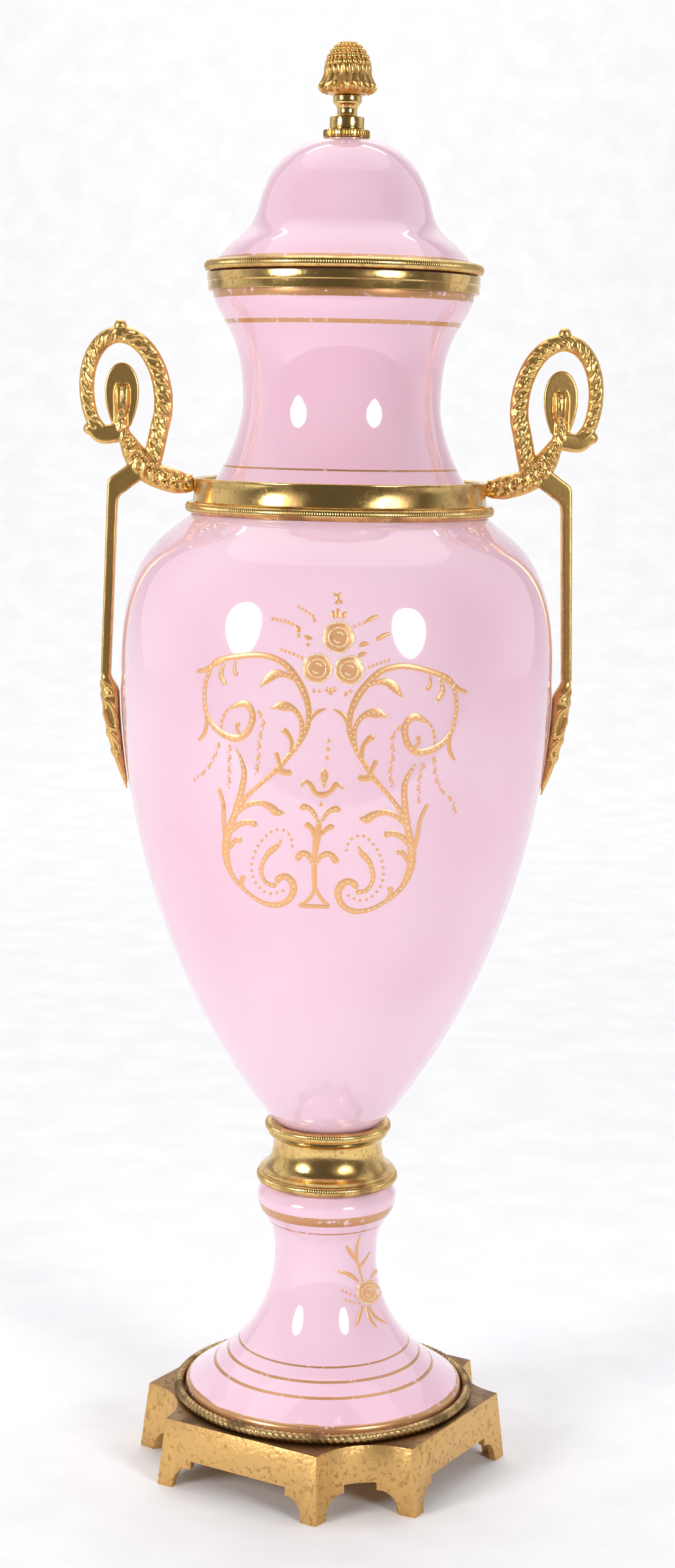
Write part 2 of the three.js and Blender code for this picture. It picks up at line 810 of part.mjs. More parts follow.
/** The bracket and strap that run down from behind the arm to the belly. */
function handleStrap() {
  const h = handle;
  const outerTop = body.bellyRadius + h.strapReach;
  const outerLow = outerTop + h.strapSpread;
  const innerTop = outerTop - h.strapWidth;
  const lowZ = bellyZ - h.terminalTop;
  const overZ = jointZ + h.bracketRise;
  const underZ = overZ - h.bracketHeight;
  const startOver = ringX - 0.23 * h.ringHalfWidth;
  const startUnder = ringX - 0.53 * h.ringHalfWidth;
  const cornerX = outerTop - h.bracketRound;
  const shape = new THREE.Shape();
  shape.moveTo(startOver, overZ + h.bracketSlope * (cornerX - startOver));
  shape.lineTo(cornerX, overZ);
  shape.quadraticCurveTo(outerTop, overZ - h.bracketRound / 2, outerTop, overZ - 1.6 * h.bracketRound);
  shape.lineTo(outerLow, lowZ);
  shape.lineTo(outerLow - h.strapWidth, lowZ);
  shape.lineTo(innerTop, underZ - h.bracketRound);
  const bendX = innerTop - h.bracketRound / 2;
  shape.quadraticCurveTo(innerTop, underZ, bendX, underZ + h.bracketSlope * (innerTop - bendX));
  shape.lineTo(startUnder, underZ + h.bracketSlope * (innerTop - startUnder));
  shape.closePath();
  return slab(shape, h.strapDepth, 3);
}

/** The pointed leaf at the strap's foot, lying against the belly, with lobes on its sides. */
function handleTerminal() {
  const h = handle;
  const topZ = bellyZ - h.terminalTop;
  const down = (share) => topZ - share * h.terminalLength;
  const against = (z) => bodyRadius(z) + 2 * GAP;
  const outer = body.bellyRadius + h.strapReach + h.strapSpread;
  const inner = outer - h.strapWidth;
  const shape = new THREE.Shape();
  shape.moveTo(inner, down(-0.1));
  shape.quadraticCurveTo(inner, down(0.08), against(down(0.15)), down(0.15));
  for (const share of [0.4, 0.65, 0.9]) shape.lineTo(against(down(share)), down(share));
  shape.lineTo(against(down(1)) + h.terminalLift, down(1));
  shape.quadraticCurveTo(outer - 0.14 * h.terminalThick, down(0.57), outer, down(0.12));
  shape.lineTo(outer, down(-0.1));
  shape.closePath();
  const leaf = bend(slab(shape, 1, 5), (p) => {
    const share = Math.min(Math.max((topZ - p.z) / h.terminalLength, 0), 1);
    const shoulder = THREE.MathUtils.lerp(h.strapDepth, h.terminalDepth, Math.min(share / 0.12, 1));
    const pointed = Math.max((share - 0.12) / 0.88, 0) ** 2;
    p.y *= THREE.MathUtils.lerp(shoulder, h.tipDepth, pointed);
  });
  const lobes = [];
  for (let i = 0; i < h.terminalLobes; i += 1) {
    const z = down(0.16 + (0.75 * i) / h.terminalLobes);
    const small = 1 - 0.17 * i;
    const thick = h.terminalThick * small;
    const x = against(z) + GAP + thick / 2;
    lobes.push(ball(x, 0, z, 0.38 * thick, 0.58 * h.terminalDepth * small, 5.2 * small));
  }
  return [leaf, ...lobes];
}

/** The whole casting, joined into one solid. */
function handleGeometry() {
  const h = handle;
  const from = h.ringFrom * DEG;
  const knobX = ringX + h.ringHalfWidth * Math.cos(from) + 0.75 * h.knob;
  const knobZ = ringZ + h.ringHalfHeight * Math.sin(from);
  const topX = ringX + h.ringLean;
  const topZ = ringZ + h.ringHalfHeight + (h.ringBar + h.knob) / 2;
  const parts = [
    handleRing(),
    handleArm(),
    handleLeaf(),
    handleCurl(knobX, knobZ),
    handleStrap(),
    ...handleTerminal(),
    ball(topX, 0, topZ, h.knob, h.knob, h.knob),
    ball(knobX, 0, knobZ, h.knob, h.knob, h.knob),
  ];
  return geometryOf(joined(parts));
}

// Finishes and the assembled vase

/** A material from its colour, roughness and metalness. */
function finish(color, roughness, metalness) {
  return new THREE.MeshStandardMaterial({ color, roughness, metalness });
}

const glaze = finish(0xf2d6e6, 0.12, 0);
const satinBrass = finish(0xc99a4a, 0.45, 1);
const polishedBrass = finish(0xd2a245, 0.22, 1);
const agedBrass = finish(0x8a6a3c, 0.5, 1);
const castGilt = finish(0xc8923f, 0.35, 1);

const vase = new THREE.Group();

/** Adds a named piece, turned about the vase's axis if asked. */
function add(name, geometry, material, turn = 0) {
  const mesh = new THREE.Mesh(geometry, material);
  mesh.name = name;
  mesh.rotation.z = turn;
  vase.add(mesh);
}

add("plinth", plinthGeometry(), satinBrass);
add("foot_rope_ring", ropeGeometry(), agedBrass);
add("foot", footGeometry(), glaze);
add("waist_collar", waistCollarGeometry(), polishedBrass);
add("vase_body", bodyGeometry(), glaze);
add("shoulder_collar", shoulderCollarGeometry(), polishedBrass);
add("rim_band", rimBandGeometry(), polishedBrass);
add("lid", lidGeometry(), glaze);
add("lid_band", lidBandGeometry(), polishedBrass);
add("finial_washer", washerGeometry(), polishedBrass);
add("finial_stem", stemGeometry(), polishedBrass);
add("finial_cone", coneGeometry(), castGilt);
add("handle_right", handleGeometry(), castGilt);
add("handle_left", handleGeometry(), castGilt, Math.PI);

export default vase;
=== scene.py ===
"""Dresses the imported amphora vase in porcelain, gilding and brass, and sets up the studio.

Sizes are millimetres in the vase's own frame, +Z up, until a mesh is made. Meshes are metres.
Places of painted ornament are pixels of the 1109 by 2576 photograph, cast onto the porcelain.
"""

import logging
import math
from dataclasses import dataclass, field
from enum import Enum
from typing import Callable, Sequence

import bmesh
import bpy
from mathutils import Matrix, Vector, noise


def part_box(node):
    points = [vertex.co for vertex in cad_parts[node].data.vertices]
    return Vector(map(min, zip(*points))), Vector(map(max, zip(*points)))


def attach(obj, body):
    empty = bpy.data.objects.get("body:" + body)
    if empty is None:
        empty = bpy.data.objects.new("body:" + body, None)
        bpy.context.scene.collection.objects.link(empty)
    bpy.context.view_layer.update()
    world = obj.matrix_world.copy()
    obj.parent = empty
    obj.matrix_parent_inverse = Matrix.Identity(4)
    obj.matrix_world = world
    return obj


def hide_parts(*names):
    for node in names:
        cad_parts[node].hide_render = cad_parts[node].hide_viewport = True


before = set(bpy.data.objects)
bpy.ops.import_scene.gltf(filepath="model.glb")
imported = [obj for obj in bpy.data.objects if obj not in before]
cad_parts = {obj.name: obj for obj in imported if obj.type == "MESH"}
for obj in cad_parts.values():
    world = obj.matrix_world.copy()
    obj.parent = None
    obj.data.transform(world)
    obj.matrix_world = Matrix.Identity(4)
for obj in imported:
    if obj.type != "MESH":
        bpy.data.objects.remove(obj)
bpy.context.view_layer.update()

LOG = logging.getLogger("vase")
MM = 0.001
TINY = 1e-6
BODY = "root"
PHOTO_WIDTH = 1109
PHOTO_HEIGHT = 2576

Point2 = tuple[float, float]
Profile = list[Point2]
Points = Sequence[Sequence[float]]
Faces = list[tuple[int, ...]]


class Slot(Enum):
    """The material slots."""

    GLAZE = "pink_glaze"
    POLISHED = "polished_brass"
    SATIN = "satin_brass"
    AGED = "aged_brass"
    CAST = "cast_gilt"


# Outlines and meshes


@dataclass(frozen=True)
class Station:
    """A place that a smooth outline passes: radius, height, direction of travel and hold."""

    r: float
    z: float
    direction: float = 90.0
    before: float = 0.0
    after: float = 0.0


def swelling(stations: Sequence[Station], steps: int = 22) -> Profile:
    """Draws a smooth outline through a few stations.

    Args:
        stations: The places, from the bottom up.
        steps: Points between two stations.

    Returns:
        The outline's points.
    """
    points: Profile = [(stations[0].r, stations[0].z)]
    for a, b in zip(stations, stations[1:]):
        turn_a, turn_b = math.radians(a.direction), math.radians(b.direction)
        corners = (
            Vector((a.r, a.z)),
            Vector((a.r + a.after * math.cos(turn_a), a.z + a.after * math.sin(turn_a))),
            Vector((b.r - b.before * math.cos(turn_b), b.z - b.before * math.sin(turn_b))),
            Vector((b.r, b.z)),
        )
        for i in range(1, steps + 1):
            t = i / steps
            weights = ((1 - t) ** 3, 3 * t * (1 - t) ** 2, 3 * t * t * (1 - t), t**3)
            point = sum((w * c for w, c in zip(weights, corners)), Vector((0.0, 0.0)))
            points.append((point.x, point.y))
    return points


def inner_side(profile: Profile, wall: float, lowest: float, highest: float) -> Profile:
    """Gives an outline's inner side, from the top down.

    Args:
        profile: The outer outline, from the bottom up.
        wall: Thickness of the wall.
        lowest: No point is given below this height.
        highest: No point is given above this height.

    Returns:
        The inner outline's points.
    """
    inner: Profile = []
    for (r0, z0), (r, z), (r1, z1) in zip(profile, profile[1:], profile[2:]):
        length = math.hypot(r1 - r0, z1 - z0)
        point = (r - wall * (z1 - z0) / length, z + wall * (r1 - r0) / length)
        if point[0] > wall and lowest < point[1] < highest:
            inner.append(point)
    return inner[::-1]


def radius_at(profile: Profile, z: float) -> float:
    """Gives an outline's radius at a height.

    Args:
        profile: The outline, from the bottom up.
        z: The height.

    Returns:
        The radius there, or at the nearer end.
    """
    for (r0, z0), (r1, z1) in zip(profile, profile[1:]):
        if z0 <= z <= z1 and z1 > z0:
            return r0 + (r1 - r0) * (z - z0) / (z1 - z0)
    return profile[-1][0] if z > profile[-1][1] else profile[0][0]


def arc(r: float, z: float, size: float, start: float, end: float, steps: int = 8) -> Profile:
    """Gives points round a circle in an outline.

    Args:
        r: Radius of the circle's centre from the axis.
        z: Height of the centre.
        size: The circle's own radius.
        start: First angle in degrees, 0 pointing outwards and 90 up.
        end: Last angle.
        steps: Spaces between points.

    Returns:
        The points.
    """
    angles = [math.radians(start + (end - start) * i / steps) for i in range(steps + 1)]
    return [(r + size * math.cos(a), z + size * math.sin(a)) for a in angles]


def softened(profile: Profile, size: float, closed: bool = False) -> Profile:
    """Rounds the sharp corners of an outline.

    Args:
        profile: The outline.
        size: How far the rounding reaches along each side.
        closed: True for an outline that ends where it begins.

    Returns:
        The outline with three points for each sharp corner.
    """
    count = len(profile)
    result: Profile = []
    for i, (r, z) in enumerate(profile):
        if not closed and i in (0, count - 1):
            result.append((r, z))
            continue
        here = Vector((r, z))
        back = Vector(profile[i - 1]) - here
        ahead = Vector(profile[(i + 1) % count]) - here
        if back.length < TINY or ahead.length < TINY or back.angle(-ahead) < math.radians(24):
            result.append((r, z))
            continue
        a = here + back.normalized() * min(size, back.length * 0.4)
        b = here + ahead.normalized() * min(size, ahead.length * 0.4)
        middle = (a + b) / 4 + here / 2
        result += [tuple(a), tuple(middle), tuple(b)]
    return result


def mesh_object(name: str, vertices: Points, faces: Faces, crease: float = 34.0) -> bpy.types.Object:
    """Makes an object from points in millimetres, closed, smooth and facing outwards.

    Args:
        name: The object's name.
        vertices: Points in millimetres.
        faces: Faces as indices of points.
        crease: Edges sharper than this many degrees stay sharp.

    Returns:
        The object, at the origin.
    """
    mesh = bpy.data.meshes.new(name)
    mesh.from_pydata([tuple(c * MM for c in v) for v in vertices], [], faces)
    return dressed_mesh(name, mesh, crease)


def lofted(name: str, rings: Sequence[Points], crease: float = 34.0) -> bpy.types.Object:
    """Joins rings of points by a skin and closes both ends.

    Args:
        name: The object's name.
        rings: Rings with as many points each, in millimetres.
        crease: Edges sharper than this many degrees stay sharp.

    Returns:
        The closed object.
    """
    sides = len(rings[0])
    faces = skin_faces(len(rings) - 1, sides)
    last = (len(rings) - 1) * sides
    faces += [tuple(range(sides)), tuple(range(last, last + sides))]
    return mesh_object(name, [point for ring in rings for point in ring], faces, crease)


def skin_faces(rows: int, sides: int, first: int = 0, closed: bool = False) -> Faces:
    """Gives the faces of a tube's skin.

    Args:
        rows: Rows of faces.
        sides: Points in each ring.
        first: Index of the first ring's first point.
        closed: True where the last row ends on the first ring.

    Returns:
        The faces.
    """
    faces: Faces = []
    rings = rows if closed else rows + 1
    for row in range(rows):
        a, b = first + row * sides, first + (row + 1) % rings * sides
        for k in range(sides):
            j = (k + 1) % sides
            faces.append((a + k, a + j, b + j, b + k))
    return faces


def dressed_mesh(name: str, mesh: bpy.types.Mesh, crease: float) -> bpy.types.Object:
    """Merges a mesh's doubles, turns its faces outwards, smooths it and links it as an object.

    Args:
        name: The object's name.
        mesh: The mesh, in metres.
        crease: Edges sharper than this many degrees stay sharp.

    Returns:
        The object, at the origin.
    """
    work = bmesh.new()
    work.from_mesh(mesh)
    bmesh.ops.remove_doubles(work, verts=work.verts, dist=TINY)
    bmesh.ops.recalc_face_normals(work, faces=work.faces)
    work.to_mesh(mesh)
    work.free()
    mesh.shade_smooth()
    mesh.set_sharp_from_angle(angle=math.radians(crease))
    return linked(name, mesh)


def linked(name: str, data: bpy.types.ID) -> bpy.types.Object:
    """Makes an object of some data and links it to the scene."""
    obj = bpy.data.objects.new(name, data)
    bpy.context.scene.collection.objects.link(obj)
    return obj


def turned(name: str, profile: Profile, segments: int = 192, crease: float = 34.0) -> bpy.types.Object:
    """Turns an outline about the vase's axis.

    Args:
        name: The object's name.
        profile: Radius and height pairs. It starts and ends on the axis, or else closes on itself.
        segments: Steps round the axis.
        crease: Edges sharper than this many degrees stay sharp.

    Returns:
        The turned piece.
    """
    angles = [2 * math.pi * i / segments for i in range(segments)]
    vertices = [(r * math.cos(a), r * math.sin(a), z) for r, z in profile for a in angles]
    closed = profile[0][0] > TINY or profile[-1][0] > TINY
    rows = len(profile) if closed else len(profile) - 1
    return mesh_object(name, vertices, skin_faces(rows, segments, closed=closed), crease)


def even_path(points: Sequence[Sequence[float]], spacing: float) -> list[Vector]:
    """Draws a smooth line through points and cuts it into even steps.

    Args:
        points: Places that the line passes, in two or three dimensions.
        spacing: Rough length of a step.

    Returns:
        Points along the line.
    """
    stops = [Vector(p) for p in points]
    stops = [2 * stops[0] - stops[1], *stops, 2 * stops[-1] - stops[-2]]
    dense: list[Vector] = [stops[1]]
    for a, b, c, d in zip(stops, stops[1:], stops[2:], stops[3:]):
        for i in range(1, 17):
            t = i / 16
            bend = t * t * (2 * a - 5 * b + 4 * c - d) + t**3 * (3 * b - a - 3 * c + d)
            dense.append(0.5 * (2 * b + t * (c - a) + bend))
    lengths = [0.0]
    for a, b in zip(dense, dense[1:]):
        lengths.append(lengths[-1] + (b - a).length)
    count = max(2, round(lengths[-1] / spacing))
    result: list[Vector] = []
    at = 0
    for i in range(count + 1):
        goal = lengths[-1] * i / count
        while at < len(dense) - 2 and lengths[at + 1] < goal:
            at += 1
        span = lengths[at + 1] - lengths[at]
        share = (goal - lengths[at]) / span if span > 1e-9 else 0.0
        result.append(dense[at].lerp(dense[at + 1], min(max(share, 0.0), 1.0)))
    return result


Section = Callable[[float, float, float], Point2]


def swept(name: str, path: Sequence[Vector], sides: int, section: Section) -> bpy.types.Object:
    """Sweeps a section along a line that lies in the plane of X and Z.

    Args:
        name: The object's name.
        path: Points of the line.
        sides: Points round the section.
        section: Takes the share of the way, the distance from the start and the angle round the
            bar, and gives how far the surface stands across the line and along Y.

    Returns:
        The closed bar.
    """
    rings = []
    run = 0.0
    for i, at in enumerate(path):
        ahead, behind = path[min(i + 1, len(path) - 1)], path[max(i - 1, 0)]
        along = (ahead - behind).normalized()
        if i:
            run += (at - path[i - 1]).length
        ring = []
        for k in range(sides):
            across, deep = section(i / (len(path) - 1), run, 2 * math.pi * k / sides)
            ring.append((at.x - along.z * across, deep, at.z + along.x * across))
        rings.append(ring)
    return lofted(name, rings)


def blob(
    name: str, centre: Sequence[float], radii: Sequence[float], turn: float = 0.0, fine: int = 12
) -> bpy.types.Object:
    """Makes a rounded lump.

    Args:
        name: The object's name.
        centre: Its middle.
        radii: Half sizes along X, Y and Z before it is turned.
        turn: Turn about Y in degrees.
        fine: Steps round it.

    Returns:
        The lump.
    """
    work = bmesh.new()
    bmesh.ops.create_uvsphere(work, u_segments=fine, v_segments=max(4, fine // 2), radius=1.0)
    shape = Matrix.Rotation(math.radians(turn), 4, "Y") @ Matrix.Diagonal((*radii, 1.0))
    work.transform(Matrix.Scale(MM, 4) @ Matrix.Translation(centre) @ shape)
    mesh = bpy.data.meshes.new(name)
    work.to_mesh(mesh)
    work.free()
    return dressed_mesh(name, mesh, 80.0)


def plate(name: str, outline: Sequence[Sequence[float]], depth: float, edge: float) -> bpy.types.Object:
    """Makes a flat plate with rounded edges from an outline in X and Z.

    Args:
        name: The object's name.
        outline: Corners in order.
        depth: Thickness along Y.
        edge: Size of the rounding.

    Returns:
        The plate.
    """
    obj = lofted(name, [[(x, y, z) for x, z in outline] for y in (-depth / 2, depth / 2)])
    bevel = obj.modifiers.new("edge", "BEVEL")
    bevel.width = edge * MM
    bevel.segments = 3
    bevel.angle_limit = math.radians(50)
    return applied(obj)


def applied(obj: bpy.types.Object) -> bpy.types.Object:
    """Turns an object's modifiers into plain mesh.

    Args:
        obj: The object.

    Returns:
        The same object, with no modifiers left.
    """
    evaluated = obj.evaluated_get(bpy.context.evaluated_depsgraph_get())
    mesh = bpy.data.meshes.new_from_object(evaluated)
    obj.modifiers.clear()
    old = obj.data
    obj.data = mesh
    bpy.data.meshes.remove(old)
    return obj


def fused(name: str, parts: Sequence[bpy.types.Object]) -> bpy.types.Object:
    """Gathers several meshes in one object.

    Args:
        name: The new object's name.
        parts: The meshes. Their objects are removed.

    Returns:
        The gathered object, which keeps every part's material.
    """
    work = bmesh.new()
    materials: list[bpy.types.Material] = []
    for part in parts:
        first = len(work.faces)
        work.from_mesh(part.data)
        work.faces.ensure_lookup_table()
        used = part.data.materials[0] if part.data.materials else None
        if used is not None and used not in materials:
            materials.append(used)
        for index in range(first, len(work.faces)):
            work.faces[index].material_index = materials.index(used) if used is not None else 0
    mesh = bpy.data.meshes.new(name)
    work.to_mesh(mesh)
    work.free()
    for used in materials:
        mesh.materials.append(used)
    for part in parts:
        bpy.data.objects.remove(part)
    return linked(name, mesh)


def turned_copy(obj: bpy.types.Object, name: str, turn: float) -> bpy.types.Object:
    """Copies a piece, turned about the vase's axis.

    Args:
        obj: The piece.
        name: The copy's name.
        turn: Turn about Z in degrees.

    Returns:
        The copy.
    """
    mesh = obj.data.copy()
    mesh.transform(Matrix.Rotation(math.radians(turn), 4, "Z"))
    return linked(name, mesh)


# Copies round the axis, by Geometry Nodes


class RingOfCopies:
    """Sets copies of a small shape round the vase's axis."""

    seed: int = 7

    def __init__(self) -> None:
        """Builds the tree once."""
        self.tree = self.build_tree()

    def build_tree(self) -> bpy.types.NodeTree:
        """Builds the node tree: points, turned copies, real meshes, material.

        Returns:
            The tree, whose inputs are the shape, the count, the start, the unevenness and the material.
        """
        tree = bpy.data.node_groups.new("Copies round the axis", "GeometryNodeTree")
        sockets = (
            ("Shape", "INPUT", "NodeSocketGeometry"),
            ("Count", "INPUT", "NodeSocketInt"),
            ("Start", "INPUT", "NodeSocketFloat"),
            ("Unevenness", "INPUT", "NodeSocketFloat"),
            ("Material", "INPUT", "NodeSocketMaterial"),
            ("Copies", "OUTPUT", "NodeSocketGeometry"),
        )
        for name, way, kind in sockets:
            tree.interface.new_socket(name, in_out=way, socket_type=kind)
        nodes = Nodes(tree)
        given = nodes.node("NodeGroupInput").outputs
        index = nodes.node("GeometryNodeInputIndex").outputs[0]
        share = nodes.maths("DIVIDE", index, given["Count"])
        angle = nodes.maths("MULTIPLY_ADD", share, 2 * math.pi, given["Start"])
        values = {2: -1.0, 3: 1.0, "Seed": self.seed}
        chance = nodes.node("FunctionNodeRandomValue", values, data_type="FLOAT")
        around = nodes.maths("MULTIPLY_ADD", chance.outputs[1], given["Unevenness"], angle)
        turn = nodes.node("ShaderNodeCombineXYZ", {"Z": around}).outputs[0]
        values = {"Count": given["Count"], "Offset": (0.0, 0.0, 0.0)}
        points = nodes.node("GeometryNodeMeshLine", values).outputs[0]
        values = {"Points": points, "Instance": given["Shape"], "Rotation": turn}
        copies = nodes.node("GeometryNodeInstanceOnPoints", values).outputs[0]
        real = nodes.node("GeometryNodeRealizeInstances", {0: copies}).outputs[0]
        values = {"Geometry": real, "Material": given["Material"]}
        painted = nodes.node("GeometryNodeSetMaterial", values).outputs[0]
        nodes.node("NodeGroupOutput", {0: painted})
        return tree

    def make(
        self,
        shape: bpy.types.Object,
        count: int,
        material: bpy.types.Material,
        start: float = 0.0,
        unevenness: float = 0.0,
    ) -> bpy.types.Object:
        """Turns one shape into a ring of them.

        Args:
            shape: The shape where the first copy goes. It becomes the ring.
            count: How many copies.
            material: Their finish.
            start: Turn of the first copy, in degrees.
            unevenness: Most that a copy may stray, in degrees.

        Returns:
            The ring, as plain mesh.
        """
        modifier = shape.modifiers.new("copies", "NODES")
        modifier.node_group = self.tree
        values = {
            "Count": count,
            "Start": math.radians(start),
            "Unevenness": math.radians(unevenness),
            "Material": material,
        }
        for item in self.tree.interface.items_tree:
            if item.item_type == "SOCKET" and item.in_out == "INPUT" and item.name in values:
                modifier[item.identifier] = values[item.name]
        return applied(shape)


# Finishes


Inputs = dict[str | int, object]


class Nodes:
    """A small helper that builds a node tree."""

    def __init__(self, tree: bpy.types.NodeTree) -> None:
        """Keeps the tree."""
        self.tree = tree

    def node(self, kind: str, inputs: Inputs | None = None, **values: object) -> bpy.types.Node:
        """Adds a node.

        Args:
            kind: The node's type.
            inputs: Sockets by name or number, each with a value or a socket to link.
            values: The node's own settings.

        Returns:
            The node.
        """
        node = self.tree.nodes.new(kind)
        for key, value in values.items():
            setattr(node, key, value)
        self.fill(node, inputs or {})
        return node

    def fill(self, node: bpy.types.Node, inputs: Inputs) -> None:
        """Sets a node's sockets to values, or links them to sockets."""
        for key, value in inputs.items():
            if isinstance(value, bpy.types.NodeSocket):
                self.tree.links.new(value, node.inputs[key])
            else:
                node.inputs[key].default_value = value

    def maths(
        self, operation: str, a: object, b: object = 0.0, c: object = 0.0, clamp: bool = False
    ) -> bpy.types.NodeSocket:
        """Adds a Math node and gives its result."""
        values = {0: a, 1: b, 2: c}
        return self.node("ShaderNodeMath", values, operation=operation, use_clamp=clamp).outputs[0]

    def ramp(self, value: object, low: float, high: float) -> bpy.types.NodeSocket:
        """Maps a value smoothly to 0 at low and 1 at high."""
        mapped = self.node(
            "ShaderNodeMapRange",
            {"Value": value, "From Min": low, "From Max": high},
            interpolation_type="SMOOTHSTEP",
        )
        return mapped.outputs["Result"]

    def mix(self, share: object, a: object, b: object) -> bpy.types.NodeSocket:
        """Mixes two colours by a share."""
        mixed = self.node("ShaderNodeMix", {0: share, 6: a, 7: b}, data_type="RGBA")
        return mixed.outputs[2]

    def place(self) -> bpy.types.NodeSocket:
        """Gives Object coordinates."""
        return self.node("ShaderNodeTexCoord").outputs["Object"]

    def noise(
        self, vector: object, scale: object, detail: float = 3.0, roughness: float = 0.55
    ) -> bpy.types.NodeSocket:
        """Adds a noise and gives its value."""
        values = {"Vector": vector, "Scale": scale, "Detail": detail, "Roughness": roughness}
        return self.node("ShaderNodeTexNoise", values).outputs["Fac"]


def new_group(
    name: str, inputs: dict[str, float], outputs: Sequence[str]
) -> tuple[Nodes, bpy.types.Node, bpy.types.Node]:
    """Starts a shader group with named sockets.

    Args:
        name: The group's name.
        inputs: Names of number inputs, each with its default.
        outputs: Names of number outputs.

    Returns:
        The group's builder, its input node and its output node.
    """
    tree = bpy.data.node_groups.new(name, "ShaderNodeTree")
    for key, value in inputs.items():
        tree.interface.new_socket(key, in_out="INPUT", socket_type="NodeSocketFloat").default_value = value
    for key in outputs:
        tree.interface.new_socket(key, in_out="OUTPUT", socket_type="NodeSocketFloat")
    shader = Nodes(tree)
    return shader, shader.node("NodeGroupInput"), shader.node("NodeGroupOutput")


class Effects:
    """Shader groups that several finishes share."""

    def __init__(self) -> None:
        """Builds every group once."""
        self.tarnish = self.build_tarnish()
        self.painted_line = self.build_painted_line()
        self.handwork = self.build_handwork()

    def build_tarnish(self) -> bpy.types.NodeTree:
        """Builds brown blotches and fine specks.

        Returns:
            A group that puts out how much tarnish covers a place, and a fine speckle.
        """
        inputs = {"Blotch Scale": 90.0, "Cover": 0.4, "Speck Scale": 900.0, "Specks": 0.3}
        shader, given, result = new_group("Tarnish", inputs, ("Cover", "Specks"))
        place = shader.place()
        blotch = shader.noise(place, given.outputs[0], 6.0, 0.5)
        start = shader.maths("SUBTRACT", 0.72, shader.maths("MULTIPLY", given.outputs[1], 0.45))
        cover = shader.maths("MULTIPLY", shader.maths("SUBTRACT", blotch, start), 7.0, clamp=True)
        rise = shader.maths("SUBTRACT", shader.noise(place, given.outputs[2], 2.0, 0.5), 0.56)
        specks = shader.maths("MULTIPLY", shader.maths("MULTIPLY", rise, 9.0, clamp=True), given.outputs[3])
        shader.fill(result, {"Cover": cover, "Specks": specks})
        return shader.tree

    def build_painted_line(self) -> bpy.types.NodeTree:
        """Builds a hand-painted line round a turned piece.

        Returns:
            A group that puts out 1 on the line and 0 off it.
        """
        inputs = {"Height": 0.0, "Half Width": 0.0005, "Waver": 0.0002}
        shader, given, result = new_group("Painted Line", inputs, ("Line",))
        place = shader.place()
        height = shader.node("ShaderNodeSeparateXYZ", {0: place}).outputs["Z"]
        wander = shader.maths("SUBTRACT", shader.noise(place, 55.0), 0.5)
        moved = shader.maths("ADD", height, shader.maths("MULTIPLY", wander, given.outputs["Waver"]))
        away = shader.maths("ABSOLUTE", shader.maths("SUBTRACT", moved, given.outputs["Height"]))
        inside = shader.maths("SUBTRACT", given.outputs["Half Width"], away)
        shader.fill(result, {"Line": shader.maths("MULTIPLY", inside, 12000.0, clamp=True)})
        return shader.tree

    def build_handwork(self) -> bpy.types.NodeTree:
        """Builds the fine unevenness of a hand-finished surface.

        Returns:
            A group that puts out a height for a Bump node.
        """
        inputs = {"Wave Scale": 40.0, "Grain Scale": 700.0, "Grain": 0.3}
        shader, given, result = new_group("Handwork", inputs, ("Height",))
        place = shader.place()
        grain = shader.noise(place, given.outputs[1], 3.0, 0.5)
        fine = shader.maths("MULTIPLY", grain, given.outputs[2])
        wave = shader.noise(place, given.outputs[0], 1.0, 0.5)
        shader.fill(result, {"Height": shader.maths("ADD", wave, fine)})
        return shader.tree


Colour = tuple[float, float, float]


def new_material(name: str) -> tuple[bpy.types.Material, Nodes, bpy.types.Node]:
    """Starts a material.

    Args:
        name: The material's name.

    Returns:
        The material, its builder and its Principled BSDF.
    """
    material = bpy.data.materials.new(name)
    material.use_nodes = True
    principled = material.node_tree.nodes["Principled BSDF"]
    return material, Nodes(material.node_tree), principled


def rgba(colour: Colour) -> tuple[float, float, float, float]:
    """Adds full alpha to a colour."""
    return (*colour, 1.0)


@dataclass(frozen=True)
class PaintedLine:
    """A gilt line round a turned piece: its height and width in millimetres, and how it wavers."""

    z: float
    width: float
    waver: float = 0.25


